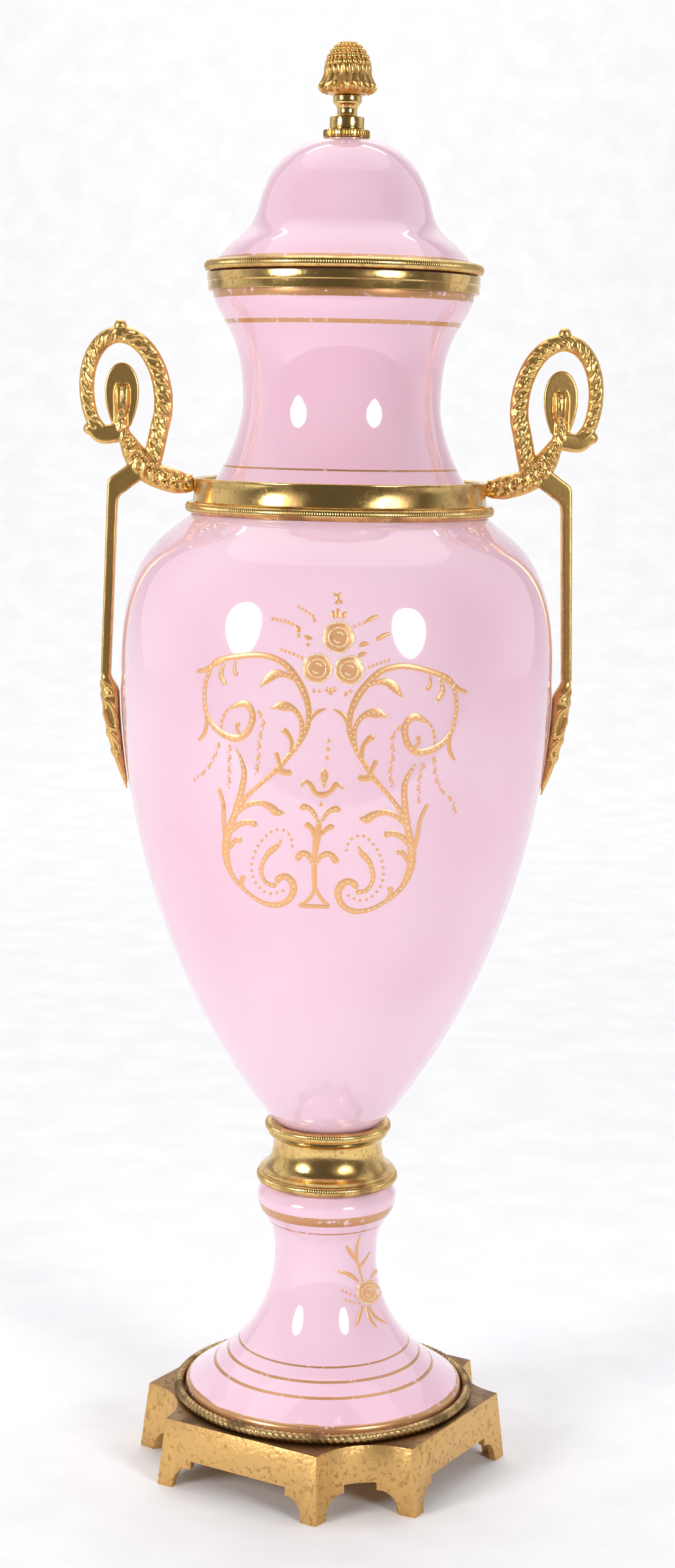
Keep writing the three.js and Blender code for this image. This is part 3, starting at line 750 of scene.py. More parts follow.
@dataclass(frozen=True)
class Glaze:
    """Glossy pink glaze over porcelain, with gilt lines."""

    name: str
    lines: tuple[PaintedLine, ...]
    pale: Colour = (0.9, 0.635, 0.75)
    deep: Colour = (0.86, 0.52, 0.65)
    gilt: Colour = (0.64, 0.33, 0.14)
    dust: Colour = (0.35, 0.2, 0.2)

    def material(self, effects: Effects) -> bpy.types.Material:
        """Builds the material.

        Args:
            effects: The shared shader groups.

        Returns:
            The material.
        """
        material, shader, principled = new_material(self.name)
        place = shader.place()
        cloud = shader.ramp(shader.noise(place, 9.0, 2.0), 0.3, 0.75)
        dusty = shader.ramp(shader.noise(place, 1300.0, 2.0), 0.76, 0.8)
        base = shader.mix(cloud, rgba(self.pale), rgba(self.deep))
        base = shader.mix(shader.maths("MULTIPLY", dusty, 0.35), base, rgba(self.dust))
        mask: object = 0.0
        for line in self.lines:
            values = {"Height": line.z * MM, "Half Width": line.width * MM / 2, "Waver": line.waver * MM}
            painted = shader.node("ShaderNodeGroup", values, node_tree=effects.painted_line)
            mask = shader.maths("MAXIMUM", mask, painted.outputs[0])
        wear = shader.ramp(shader.noise(place, 420.0, 4.0), 0.3, 0.42)
        mask = shader.maths("MULTIPLY", mask, wear)
        values = {"Wave Scale": 22.0, "Grain": 0.02}
        height = shader.node("ShaderNodeGroup", values, node_tree=effects.handwork).outputs[0]
        values = {"Height": height, "Strength": 0.05, "Distance": 0.002}
        looks = {
            "Base Color": shader.mix(mask, base, rgba(self.gilt)),
            "Roughness": shader.maths("MULTIPLY_ADD", mask, 0.26, 0.06),
            "Metallic": shader.maths("MULTIPLY", mask, 0.55),
            "Normal": shader.node("ShaderNodeBump", values).outputs[0],
            "Subsurface Weight": 0.12,
            "Subsurface Radius": (0.006, 0.003, 0.004),
            "Subsurface Scale": 1.0,
            "Coat Weight": 0.6,
            "Coat Roughness": 0.03,
        }
        shader.fill(principled, looks)
        return material


@dataclass(frozen=True)
class Metal:
    """Brass or gilding with tarnish, specks, painted shade in recesses and fine unevenness."""

    name: str
    bright: Colour
    dull: Colour
    roughness: float = 0.2
    dull_roughness: float = 0.5
    cover: float = 0.35
    blotch_scale: float = 90.0
    specks: float = 0.3
    speck_scale: float = 900.0
    # How far painted shade darkens the hollows, from 0 to 1.
    recess: float = 0.0
    grain: float = 0.2
    bump: float = 0.1
    metallic: float = 1.0

    def material(self, effects: Effects) -> bpy.types.Material:
        """Builds the material.

        Args:
            effects: The shared shader groups.

        Returns:
            The material.
        """
        material, shader, principled = new_material(self.name)
        values = {
            "Blotch Scale": self.blotch_scale,
            "Cover": self.cover,
            "Speck Scale": self.speck_scale,
            "Specks": self.specks,
        }
        spots = shader.node("ShaderNodeGroup", values, node_tree=effects.tarnish)
        tarnish_and_shade = shader.maths("MULTIPLY", spots.outputs["Cover"], 0.75)
        tarnish_and_shade = shader.maths("MAXIMUM", tarnish_and_shade, spots.outputs["Specks"])
        # Painted shade: hollows found by Pointiness are pulled towards the dull colour, as if shade fell in
        # them.
        if self.recess > 0:
            pointed = shader.node("ShaderNodeNewGeometry").outputs["Pointiness"]
            hollow = shader.maths("SUBTRACT", 1.0, shader.ramp(pointed, 0.44, 0.505))
            tarnish_and_shade = shader.maths("MAXIMUM", tarnish_and_shade, shader.maths("MULTIPLY", hollow, self.recess))
        spread = self.dull_roughness - self.roughness
        values = {"Grain": self.grain}
        height = shader.node("ShaderNodeGroup", values, node_tree=effects.handwork).outputs[0]
        values = {"Height": height, "Strength": self.bump, "Distance": 0.001}
        # Tarnish, specks and painted shade in the hollows all pull the colour towards the dull one.
        looks = {
            "Base Color": shader.mix(tarnish_and_shade, rgba(self.bright), rgba(self.dull)),
            "Roughness": shader.maths("MULTIPLY_ADD", tarnish_and_shade, spread, self.roughness),
            "Metallic": self.metallic,
            "Normal": shader.node("ShaderNodeBump", values).outputs[0],
        }
        shader.fill(principled, looks)
        return material


POLISHED_BRASS = Metal(
    "polished brass", (0.8, 0.54, 0.2), (0.24, 0.115, 0.04), 0.16, 0.4, 0.46, 70.0, 0.45, 700.0, bump=0.12
)
SATIN_BRASS = Metal(
    "satin brass", (0.74, 0.46, 0.17), (0.4, 0.21, 0.07), 0.38, 0.55, 0.3, 230.0, 0.65, 620.0,
    bump=0.3, grain=0.5,
)
PATINA = Metal(
    "brown patina", (0.3, 0.17, 0.07), (0.1, 0.055, 0.025), 0.4, 0.6, 0.6, 70.0, 0.7, 500.0, bump=0.2
)
# Aged brass darkens its hollows with painted shade.
AGED_BRASS = Metal(
    "aged brass", (0.5, 0.33, 0.14), (0.1, 0.055, 0.025), 0.32, 0.6, 0.5, 80.0, 0.4, 700.0, recess=0.9
)
# Cast gilt darkens its hollows with painted shade.
CAST_GILT = Metal(
    "cast gilt", (0.8, 0.5, 0.17), (0.2, 0.09, 0.03), 0.31, 0.52, 0.28, 120.0, 0.35, 800.0,
    recess=0.9, bump=0.2,
)
GILDING = Metal(
    "gilding", (0.86, 0.46, 0.22), (0.55, 0.26, 0.1), 0.34, 0.45, 0.2, 300.0, 0.2, 1500.0, metallic=0.35
)
# Painted highlight: a paler copy of the gilding for the pearls and the roses' petal lines.
GILDING_HIGHLIGHT = Metal(
    "gilding painted highlights", (0.98, 0.78, 0.53), (0.85, 0.52, 0.28), 0.3, 0.42, 0.1, 300.0, 0.1, 1500.0,
    metallic=0.3,
)
# Painted shade: a darker copy of the gilding for the roses' hearts.
GILDING_SHADE = Metal(
    "gilding shade", (0.5, 0.29, 0.15), (0.3, 0.15, 0.07), 0.4, 0.5, 0.3, 300.0, 0.2, 1500.0, metallic=0.4
)


class Workshop:
    """What every sub-assembly needs: the ring tool, the shader groups and the finished materials."""

    def __init__(self) -> None:
        """Makes the tools."""
        self.rings = RingOfCopies()
        self.effects = Effects()
        self.made: dict[str, bpy.types.Material] = {}

    def finish(self, finish: Metal | Glaze) -> bpy.types.Material:
        """Gives a finish's material, made once."""
        if finish.name not in self.made:
            self.made[finish.name] = finish.material(self.effects)
        return self.made[finish.name]

    def dress(self, obj: bpy.types.Object, finish: Metal | Glaze) -> bpy.types.Object:
        """Gives a mesh one material."""
        obj.data.materials.clear()
        obj.data.materials.append(self.finish(finish))
        return obj


def finished(obj: bpy.types.Object, slot: Slot, *nodes: str) -> None:
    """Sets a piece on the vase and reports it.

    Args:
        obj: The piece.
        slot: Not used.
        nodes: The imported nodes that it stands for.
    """
    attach(obj, BODY)
    if nodes:
        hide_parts(*nodes)
    LOG.info("%s: %d faces", obj.name, len(obj.data.polygons))


def low(node: str) -> float:
    """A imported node's lowest height in millimetres."""
    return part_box(node)[0][2] / MM


def high(node: str) -> float:
    """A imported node's highest height in millimetres."""
    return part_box(node)[1][2] / MM


def reach(node: str) -> float:
    """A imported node's farthest reach along X in millimetres."""
    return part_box(node)[1][0] / MM


# Plinth and rope moulding


@dataclass
class Plinth:
    """Square cast plinth with hollowed corners on eight bracket feet, with the rope moulding on it."""

    half_width: float = 55.2
    face_half: float = 31.3
    splay: float = 2.6
    wall: float = 2.6
    plate: float = 2.6
    turn: float = -32.0
    foot_tip: float = 6.0
    hollow_tip: float = 4.7
    arch_height: float = 10.8
    haunch_height: float = 8.0
    haunch_width: float = 6.5
    arch_step: float = 0.7
    edge: float = 0.35
    strands: int = 140

    def outline(self, inset: float) -> list[Point2]:
        """Gives the plinth's outline from above.

        Args:
            inset: How far it is moved in from the faces.

        Returns:
            The corners, anticlockwise.
        """
        half = self.half_width - inset
        radius = self.half_width - self.face_half + inset
        first = math.asin(inset / radius)
        points: list[Point2] = []
        for corner in range(4):
            turn = Matrix.Rotation(corner * math.pi / 2, 2)
            for i in range(19):
                angle = first + (math.pi / 2 - 2 * first) * i / 18
                x = self.half_width - radius * math.sin(angle)
                y = self.half_width - radius * math.cos(angle)
                place = turn @ Vector((min(x, half), min(y, half)))
                points.append((place.x, place.y))
        return points

    def block(self, name: str, inset: float, z0: float, z1: float) -> bpy.types.Object:
        """Makes the outline as a block whose faces lean out towards the floor."""
        rings = []
        for z in (z0, z1):
            scale = 1 + self.splay / self.half_width * (1 - z / high("plinth"))
            rings.append([(x * scale, y * scale, z) for x, y in self.outline(inset)])
        return lofted(name, rings)

    def arch(self, half: float, turn: float) -> bpy.types.Object:
        """Makes the cutter for one opening between bracket feet."""
        springing = half - self.haunch_width
        inner = springing - self.arch_step
        right: list[Point2] = [(half, -self.arch_height)]
        for i in range(9):
            angle = math.pi / 2 * i / 8
            x = springing + self.haunch_width * math.cos(angle)
            right.append((x, self.haunch_height * math.sin(angle)))
        right += [(inner, self.haunch_height), (inner, self.arch_height)]
        outline = right + [(-x, z) for x, z in reversed(right)]
        ends = (-2 * self.half_width, -self.half_width / 2)
        obj = lofted("arch", [[(x, y, z) for x, z in outline] for y in ends])
        obj.data.transform(Matrix.Rotation(math.radians(turn), 4, "Z"))
        return obj

    def casting(self, shop: Workshop) -> bpy.types.Object:
        """Makes the plinth itself, satin on its sides and brown on top."""
        top = high("plinth")
        shell = self.block("plinth_casting", 0.0, 0.0, top)
        cutters = [self.block("inside", self.wall, -self.plate, top - self.plate)]
        scale = 1 + self.splay / self.half_width
        corner_half = (self.half_width - self.face_half) / math.sqrt(2)
        for side in range(8):
            if side % 2:
                half = corner_half * scale - self.hollow_tip
            else:
                half = self.face_half * scale - self.foot_tip
            cutters.append(self.arch(half, side * 45))
        for cutter in cutters:
            cut = shell.modifiers.new("cut", "BOOLEAN")
            cut.operation = "DIFFERENCE"
            cut.solver = "EXACT"
            cut.object = cutter
            applied(shell)
            bpy.data.objects.remove(cutter)
        bevel = shell.modifiers.new("edge", "BEVEL")
        bevel.width = self.edge * MM
        bevel.segments = 2
        bevel.angle_limit = math.radians(40)
        applied(shell)
        shell.data.transform(Matrix.Rotation(math.radians(self.turn), 4, "Z"))
        shop.dress(shell, SATIN_BRASS)
        shell.data.materials.append(shop.finish(PATINA))
        for polygon in shell.data.polygons:
            polygon.material_index = 1 if polygon.normal.z > 0.9 and polygon.center.z > (top - 1) * MM else 0
        shell.data.shade_smooth()
        shell.data.set_sharp_from_angle(angle=math.radians(30))
        return shell

    def rope(self, shop: Workshop) -> bpy.types.Object:
        """Makes the twisted rope moulding."""
        bottom, top, outer = low("foot_rope_ring"), high("foot_rope_ring"), reach("foot_rope_ring")
        half = (top - bottom) / 2
        middle = outer - half
        steps, sides = self.strands * 8, 14
        vertices = []
        for i in range(steps):
            around = 2 * math.pi * i / steps
            for k in range(sides):
                angle = 2 * math.pi * k / sides
                twist = self.strands * around + angle * 3
                lobe = abs(math.sin(twist / 2)) ** 0.6
                size = half * (0.72 + 0.28 * lobe)
                r = middle + size * math.cos(angle)
                z = bottom + half + size * math.sin(angle)
                vertices.append((r * math.cos(around), r * math.sin(around), z))
        faces = skin_faces(steps, sides, closed=True)
        return shop.dress(mesh_object("rope_moulding", vertices, faces, 70.0), AGED_BRASS)

    def build(self, shop: Workshop) -> None:
        """Builds and sets the plinth and the rope."""
        finished(self.casting(shop), Slot.SATIN, "plinth")
        finished(self.rope(shop), Slot.AGED, "foot_rope_ring")


# Porcelain


@dataclass
class Porcelain:
    """The three glazed pieces: foot, body and lid."""

    foot_edge: float = 4.3
    foot_throat: float = 18.35
    foot_throat_rise: float = 51.9
    foot_bulge: float = 25.0
    foot_bulge_rise: float = 74.7
    foot_wall: float = 3.6
    foot_crown: float = 5.0
    foot_top: float = 22.6
    body_base: float = 14.5
    heel: float = 20.0
    heel_rise: float = 4.1
    belly_rise: float = 166.2
    shoulder: float = 52.0
    shoulder_rise: float = 218.6
    neck: float = 34.2
    neck_rise: float = 257.6
    mouth: float = 44.7
    mouth_rise: float = 294.0
    body_wall: float = 4.0
    body_floor: float = 6.0
    lip_turn: float = 6.4
    lid_edge: float = 3.6
    lid_inset: float = 1.5
    lid_start: float = 4.8
    dome: float = 29.2
    dome_rise: float = 24.2
    lid_seat: float = 8.4
    lid_wall: float = 3.6
    flange_wall: float = 3.4
    flange_play: float = 0.8
    flange_depth: float = 5.0

    def foot_outline(self) -> Profile:
        """The foot's outer outline, from its upright edge to its bulge."""
        z = low("foot")
        return swelling(
            [
                Station(reach("foot"), z + self.foot_edge, 150.7, after=18.3),
                Station(self.foot_throat, z + self.foot_throat_rise, 90, 24.2, 15.2),
                Station(self.foot_bulge, z + self.foot_bulge_rise, 90, 10.1),
            ]
        )

    def body_outline(self) -> Profile:
        """The body's outer outline, from its heel to its lip."""
        z = low("vase_body")
        return swelling(
            [
                Station(self.heel, z + self.heel_rise, 51, after=49.4),
                Station(reach("vase_body"), z + self.belly_rise, 90, 65.2, 39.3),
                Station(self.shoulder, z + self.shoulder_rise, 139.9, 12.5, 2.0),
                Station(self.neck, z + self.neck_rise, 90, 18.0, 25.8),
                Station(self.mouth, z + self.mouth_rise, 83.3, 9.3),
            ]
        )

    def lid_outline(self) -> Profile:
        """The lid's outer outline, from above its rim to its seat."""
        z = self.lid_bottom()
        return swelling(
            [
                Station(reach("lid") - self.lid_inset, z + self.lid_start, 126.2, after=12.1),
                Station(self.dome, z + self.dome_rise, 103.7, 13.4, 11.1),
                Station(self.lid_seat, high("lid"), 170.8, 11.2),
            ]
        )

    def lid_bottom(self) -> float:
        """Height of the lid's rim."""
        return low("lid") + self.flange_depth

    def foot(self) -> bpy.types.Object:
        """Makes the foot."""
        outline = self.foot_outline()
        bottom, top, radius = low("foot"), high("foot"), reach("foot")
        inner = inner_side(outline, self.foot_wall, bottom, top - self.foot_crown)
        profile = [
            (0.0, top - self.foot_crown),
            (inner[0][0] * 0.6, top - self.foot_crown),
            *inner,
            (radius - self.foot_wall, bottom),
            (radius, bottom),
            *outline,
            (self.foot_top, top),
            (0.0, top),
        ]
        return turned("porcelain_foot", softened(profile, 1.0))

    def body(self) -> bpy.types.Object:
        """Makes the body, hollow and open at the lip."""
        outline = self.body_outline()
        bottom, top = low("vase_body"), high("vase_body")
        lip = outline[-1][0]
        floor = bottom + self.body_floor
        inner = inner_side(outline, self.body_wall, floor, top - self.lip_turn - self.body_wall)
        profile = [
            (0.0, bottom),
            (self.body_base, bottom),
            *outline,
            (lip, top),
            (lip - self.body_wall, top),
            (lip - self.body_wall, top - self.lip_turn),
            *inner,
            (self.body_base - self.body_wall, floor),
            (0.0, floor),
        ]
        return turned("porcelain_body", softened(profile, 0.8), 256)

    def lid(self) -> bpy.types.Object:
        """Makes the lid, hollow, with the flange that drops into the neck."""
        outline = self.lid_outline()
        rim_z, top, rim = self.lid_bottom(), high("lid"), reach("lid")
        flange = self.body_outline()[-1][0] - self.body_wall - self.flange_play
        inside = flange - self.flange_wall
        profile = [
            (0.0, top - self.lid_wall),
            *inner_side(outline, self.lid_wall, rim_z + self.lid_edge, top),
            (inside, rim_z + self.lid_edge),
            (inside, low("lid")),
            (flange, low("lid")),
            (flange, rim_z),
            (rim, rim_z),
            (rim, rim_z + self.lid_edge),
            *outline,
            (0.0, top),
        ]
        return turned("porcelain_lid", softened(profile, 0.6))

    def build(self, shop: Workshop) -> None:
        """Builds and sets the three pieces."""
        foot_z, lip_z = low("foot"), high("vase_body")
        foot_lines = (
            PaintedLine(foot_z + 2.1, 6.0, 1.4),
            PaintedLine(foot_z + 11.2, 0.8),
            PaintedLine(foot_z + 15.2, 0.8),
            PaintedLine(foot_z + 19.2, 0.6),
            PaintedLine(foot_z + 64.6, 0.7),
            PaintedLine(foot_z + 69.6, 3.6),
        )
        body_lines = (
            PaintedLine(lip_z - 64.8, 0.7),
            PaintedLine(lip_z - 16.0, 1.5),
            PaintedLine(lip_z - 6.8, 2.8, 0.6),
        )
        lid_lines = (PaintedLine(self.lid_bottom() + 4.4, 1.0, 0.4),)
        foot = shop.dress(self.foot(), Glaze("pink glaze, foot", foot_lines))
        body = shop.dress(self.body(), Glaze("pink glaze, body", body_lines))
        lid = shop.dress(self.lid(), Glaze("pink glaze, lid", lid_lines))
        finished(foot, Slot.GLAZE, "foot")
        finished(body, Slot.GLAZE, "vase_body")
        finished(lid, Slot.GLAZE, "lid")


# Turned mounts


@dataclass
class Mounts:
    """The turned brass: two collars, the two bands at the rim, and their milled beads."""

    milling: float = 0.86
    tooth: float = 0.16
    waist_bead: float = 1.8
    waist_throat: float = 19.5
    waist_throat_rise: float = 14.2
    waist_bore: float = 12.0
    heel_lip: float = 2.5
    collar_bead: float = 1.9
    collar_inset: float = 2.7
    collar_wall: float = 1.6
    band_step: float = 0.35
    band_wall: float = 1.8
    lid_bead: float = 1.95

    def teeth(
        self, shop: Workshop, r: float, z: float, size: float, start: float, end: float
    ) -> bpy.types.Object:
        """Makes the milling on a bead.

        Args:
            shop: The workshop.
            r: Radius of the bead's centre line.
            z: Its height.
            size: The bead's own radius.
            start: Where the teeth begin round the bead, in degrees.
            end: Where they end.

        Returns:
            The ring of teeth.
        """
        count = round(2 * math.pi * (r + size) / self.milling)
        half = 0.4 * self.milling
        rings = []
        steps = 7
        for i in range(steps + 1):
            angle = math.radians(start + (end - start) * i / steps)
            lift = self.tooth if 0 < i < steps else -self.tooth
            ring = []
            for side, rise in ((-half, -0.12), (-half * 0.35, lift), (half * 0.35, lift), (half, -0.12)):
                at = r + (size + rise) * math.cos(angle)
                ring.append((at, side, z + (size + rise) * math.sin(angle)))
            rings.append(ring)
        tooth = lofted("tooth", rings, 60.0)
        return shop.rings.make(tooth, count, shop.finish(POLISHED_BRASS), unevenness=0.03)

    @staticmethod
    def ring(
        shop: Workshop, name: str, profile: Profile, beads: Sequence[bpy.types.Object], soft: float = 0.3
    ) -> bpy.types.Object:
        """Turns a ring and gathers it with its milled beads."""
        core = shop.dress(turned(name + "_core", softened(profile, soft, closed=True), 224), POLISHED_BRASS)
        return fused(name, [core, *beads])

    def waist_collar(self, shop: Workshop, body: Profile) -> None:
        """Builds and sets the collar between foot and body."""
        z0, z1 = low("waist_collar"), high("waist_collar")
        bead = self.waist_bead
        wide = reach("waist_collar")
        narrow = radius_at(body, low("vase_body") + Porcelain.heel_rise) + self.heel_lip
        throat_z = z0 + self.waist_throat_rise
        seat = low("vase_body") - 0.3
        sweep_low = swelling(
            [
                Station(wide - 1.1, z0 + 2 * bead + 1.1, 165, after=3.4),
                Station(self.waist_throat, throat_z, 90, 4.6, 1.6),
                Station(narrow - 1.1, z1 - 2 * bead - 1.1, 20, 1.6),
            ],
            10,
        )
        profile = [
            *arc(wide - bead, z0 + bead, bead, -90, 80),
            *sweep_low,
            *arc(narrow - bead, z1 - bead, bead, -80, 90),
            (radius_at(body, z1) + 0.3, z1),
            (self.body_seat_radius(), seat),
            (self.waist_bore, seat),
            (self.waist_bore, z0),
        ]
        beads = [
            self.teeth(shop, wide - bead, z0 + bead, bead - self.tooth / 2, -70, 75),
            self.teeth(shop, narrow - bead, z1 - bead, bead - self.tooth / 2, -65, 70),
        ]
        finished(self.ring(shop, "waist_collar_ring", profile, beads), Slot.POLISHED, "waist_collar")

    @staticmethod
    def body_seat_radius() -> float:
        """Radius of the recess that the body's base drops into."""
        return Porcelain.body_base + 0.6

    def shoulder_collar(self, shop: Workshop, body: Profile) -> None:
        """Builds and sets the collar on the shoulder."""
        z0, z1 = low("shoulder_collar"), high("shoulder_collar")
        bead = self.collar_bead
        wide = reach("shoulder_collar")
        band = wide - self.collar_inset
        inside = band - self.collar_wall
        centre = z0 + 1.2 * bead
        profile = [
            *arc(wide - bead, centre, bead, -75, 90),
            (band + 0.15, centre + bead + 0.25),
            (band, centre + 2 * bead),
            (band - 0.25, (centre + z1) / 2 + 0.8),
            (band, z1 - 1.3),
            *arc(band - 0.45, z1 - 0.62, 0.6, -10, 120, 5),
            (inside, z1 - 0.7),
            (inside, centre + 1.2 * bead),
            (radius_at(body, z0) + 0.3, z0),
        ]
        beads = [self.teeth(shop, wide - bead, centre, bead - self.tooth / 2, -62, 75)]
        finished(self.ring(shop, "shoulder_collar_ring", profile, beads), Slot.POLISHED, "shoulder_collar")

    def rim_band(self, shop: Workshop) -> None:
        """Builds and sets the flat band round the lip."""
        z0, z1 = low("rim_band"), high("rim_band")
        outer = reach("rim_band")
        inner = outer - self.band_wall
        middle = (z0 + z1) / 2
        profile = [
            (outer - self.band_step, z0),
            (outer - self.band_step, middle - 0.1),
            (outer, middle + 0.1),
            (outer, z1),
            (inner, z1),
            (inner, z0),
        ]
        finished(self.ring(shop, "rim_band_ring", profile, [], 0.2), Slot.POLISHED, "rim_band")

    def lid_band(self, shop: Workshop) -> None:
        """Builds and sets the milled bead round the lid."""
        z0, z1 = low("lid_band"), high("lid_band")
        bead = self.lid_bead
        centre = reach("lid_band") - bead
        inner = reach("lid") + 0.3
        profile = [*arc(centre, (z0 + z1) / 2, bead, -90, 90), (inner, z1), (inner, z0)]
        beads = [self.teeth(shop, centre, (z0 + z1) / 2, bead - self.tooth / 2, -72, 72)]
        finished(self.ring(shop, "lid_band_ring", profile, beads), Slot.POLISHED, "lid_band")

    def build(self, shop: Workshop, body: Profile) -> None:
        """Builds every mount."""
        self.waist_collar(shop, body)
        self.shoulder_collar(shop, body)
        self.rim_band(shop)
        self.lid_band(shop)


# Finial


@dataclass
class Finial:
    """Milled washer, turned stem and cast pine cone."""

    washer_teeth: int = 44
    drum_radius: float = 5.9
    drum_height: float = 4.0
    throat_radius: float = 3.4
    throat_rise: float = 6.2
    cup_radius: float = 4.9
    cup_rise: float = 8.4
    tip_radius: float = 9.7
    tip_rise: float = 2.9
    knee_radius: float = 8.1
    knee_rise: float = 7.6
    crown_power: float = 2.1
    leaves: int = 15
    scale_slant: float = 16.0
    scale_rows: tuple[tuple[float, float, float], ...] = (
        (8.3, 2.3, 2.1), (10.6, 1.9, 1.25), (12.6, 1.75, 1.1),
        (14.4, 1.65, 0.95), (15.9, 1.5, 0.8), (16.9, 1.3, 0.6),
    )

    def cone_form(self, z: float) -> float:
        """Radius of the cone's plain form at a height above its underside.

        Args:
            z: The height.

        Returns:
            The radius.
        """
        top = high("finial_cone") - low("finial_cone")
        if z < self.tip_rise:
            base = self.cup_radius + 1.8
            return base + (self.tip_radius - base) * math.sin(math.pi / 2 * z / self.tip_rise)
        if z < self.knee_rise:
            t = (z - self.tip_rise) / (self.knee_rise - self.tip_rise)
            return self.tip_radius + (self.knee_radius - self.tip_radius) * math.sin(t * math.pi / 2)
        t = min((z - self.knee_rise) / (top - self.knee_rise), 1.0)
        return self.knee_radius * math.sqrt(max(1 - t**self.crown_power, 0.0))

    def leaf(
        self, name: str, low_z: float, high_z: float, width: float, lean: float, lift: float
    ) -> bpy.types.Object:
        """Makes one leaf of the cone, lying on its form.

        Args:
            name: The object's name.
            low_z: Height of its tip above the underside.
            high_z: Height of its root.
            width: Its width in degrees round the cone.
            lean: How far the tip is turned to one side, in degrees.
            lift: How far the tip stands off.

        Returns:
            The leaf, a closed shell.
        """
        base = low("finial_cone")
        rows, columns = 7, 5
        vertices = []
        for skin in (1.0, -1.0):
            for i in range(rows):
                t = i / (rows - 1)
                z = high_z + (low_z - high_z) * t
                fullness = 0.5 + 0.5 * math.sin(math.pi * min(t * 0.8 + 0.15, 1.0))
                spread = width * fullness * (1 - 0.75 * t**5)
                for k in range(columns):
                    side = 2 * k / (columns - 1) - 1
                    ridge = (1 - side * side) * 0.75 + 0.3 * math.exp(-((side * 3) ** 2))
                    rise = ridge * (0.6 + 0.8 * t) + lift * t * t if skin > 0 else -0.3
                    r = self.cone_form(z) - 0.8 + rise
                    angle = math.radians(side * spread / 2 + lean * t)
                    vertices.append((r * math.cos(angle), r * math.sin(angle), base + z))
        faces: Faces = []
        half = rows * columns
        for i in range(rows - 1):
            for k in range(columns - 1):
                a = i * columns + k
                faces.append((a, a + 1, a + columns + 1, a + columns))
                faces.append((half + a, half + a + columns, half + a + columns + 1, half + a + 1))
        rim = list(range(columns)) + [i * columns + columns - 1 for i in range(1, rows)]
        rim += [(rows - 1) * columns + k for k in range(columns - 2, -1, -1)]
        rim += [i * columns for i in range(rows - 2, 0, -1)]
        for a, b in zip(rim, rim[1:] + rim[:1]):
            faces.append((a, b, half + b, half + a))
        return mesh_object(name, vertices, faces, 60.0)

    def slanted(self, r: float, z: float) -> Matrix:
        """Gives the turn that slants a scale in its own place on the cone."""
        place = Matrix.Translation(Vector((r, 0, low("finial_cone") + z)) * MM)
        return place @ Matrix.Rotation(math.radians(self.scale_slant), 4, "X") @ place.inverted()

    def cone(self, shop: Workshop) -> None:
        """Builds and sets the pine cone."""
        base, top = low("finial_cone"), high("finial_cone")
        gilt = shop.finish(CAST_GILT)
        steps = 26
        heights = [(top - base) * i / steps for i in range(steps + 1)]
        outline = [(max(self.cone_form(z) - 0.85, 0.0), base + z) for z in heights]
        core = shop.dress(turned("cone_core", [(0.0, base), *outline, (0.0, top - 0.3)], 72), CAST_GILT)
        parts = [core]
        long_leaf = self.leaf("long leaf", 0.5, 8.2, 27.0, 4.0, 0.3)
        parts.append(shop.rings.make(long_leaf, self.leaves, gilt, unevenness=1.8))
        under_leaf = self.leaf("under leaf", 1.6, 9.0, 19.0, -3.0, 0.0)
        parts.append(shop.rings.make(under_leaf, self.leaves, gilt, start=12.0, unevenness=1.4))
        tips = blob("leaf tip", (self.tip_radius - 1.0, 0, base + 2.5), (0.95, 1.25, 1.5), -14.0, 14)
        parts.append(shop.rings.make(tips, self.leaves, gilt, start=4.0, unevenness=1.8))
        for row, (z, pitch, tall) in enumerate(self.scale_rows):
            r = self.cone_form(z)
            lean = math.degrees(math.atan2(self.cone_form(z - 0.8) - self.cone_form(z + 0.8), 1.6))
            scale = blob("scale", (r - 0.55, 0, base + z), (0.62, pitch * 0.43, tall), -lean, 12)
            scale.data.transform(self.slanted(r, z))
            count = round(2 * math.pi * r / pitch)
            parts.append(shop.rings.make(scale, count, gilt, start=row * 11.0, unevenness=1.2))
        parts.append(shop.dress(blob("cone_button", (0, 0, top - 0.75), (1.5, 1.5, 0.7)), CAST_GILT))
        finished(fused("pine_cone", parts), Slot.CAST, "finial_cone")

    def stem(self, shop: Workshop) -> None:
        """Builds and sets the turned stem."""
        z0, z1 = low("finial_stem"), high("finial_stem")
        sweep = swelling(
            [
                Station(self.drum_radius - 1.1, z0 + self.drum_height + 0.15, 178, after=1.3),
                Station(self.throat_radius, z0 + self.throat_rise, 90, 1.3, 0.9),
                Station(self.throat_radius + 0.65, z0 + self.cup_rise - 0.5, 62, 0.6, 0.4),
            ],
            8,
        )
        profile = [
            (0.0, z0),
            (self.drum_radius, z0),
            (self.drum_radius, z0 + self.drum_height),
            *sweep,
            (self.cup_radius - 0.3, z0 + self.cup_rise),
            (self.cup_radius, z0 + self.cup_rise + 0.7),
            (self.cup_radius, z1),
            (0.0, z1),
        ]
        stem = shop.dress(turned("turned_stem", softened(profile, 0.3), 96), POLISHED_BRASS)
        finished(stem, Slot.POLISHED, "finial_stem")

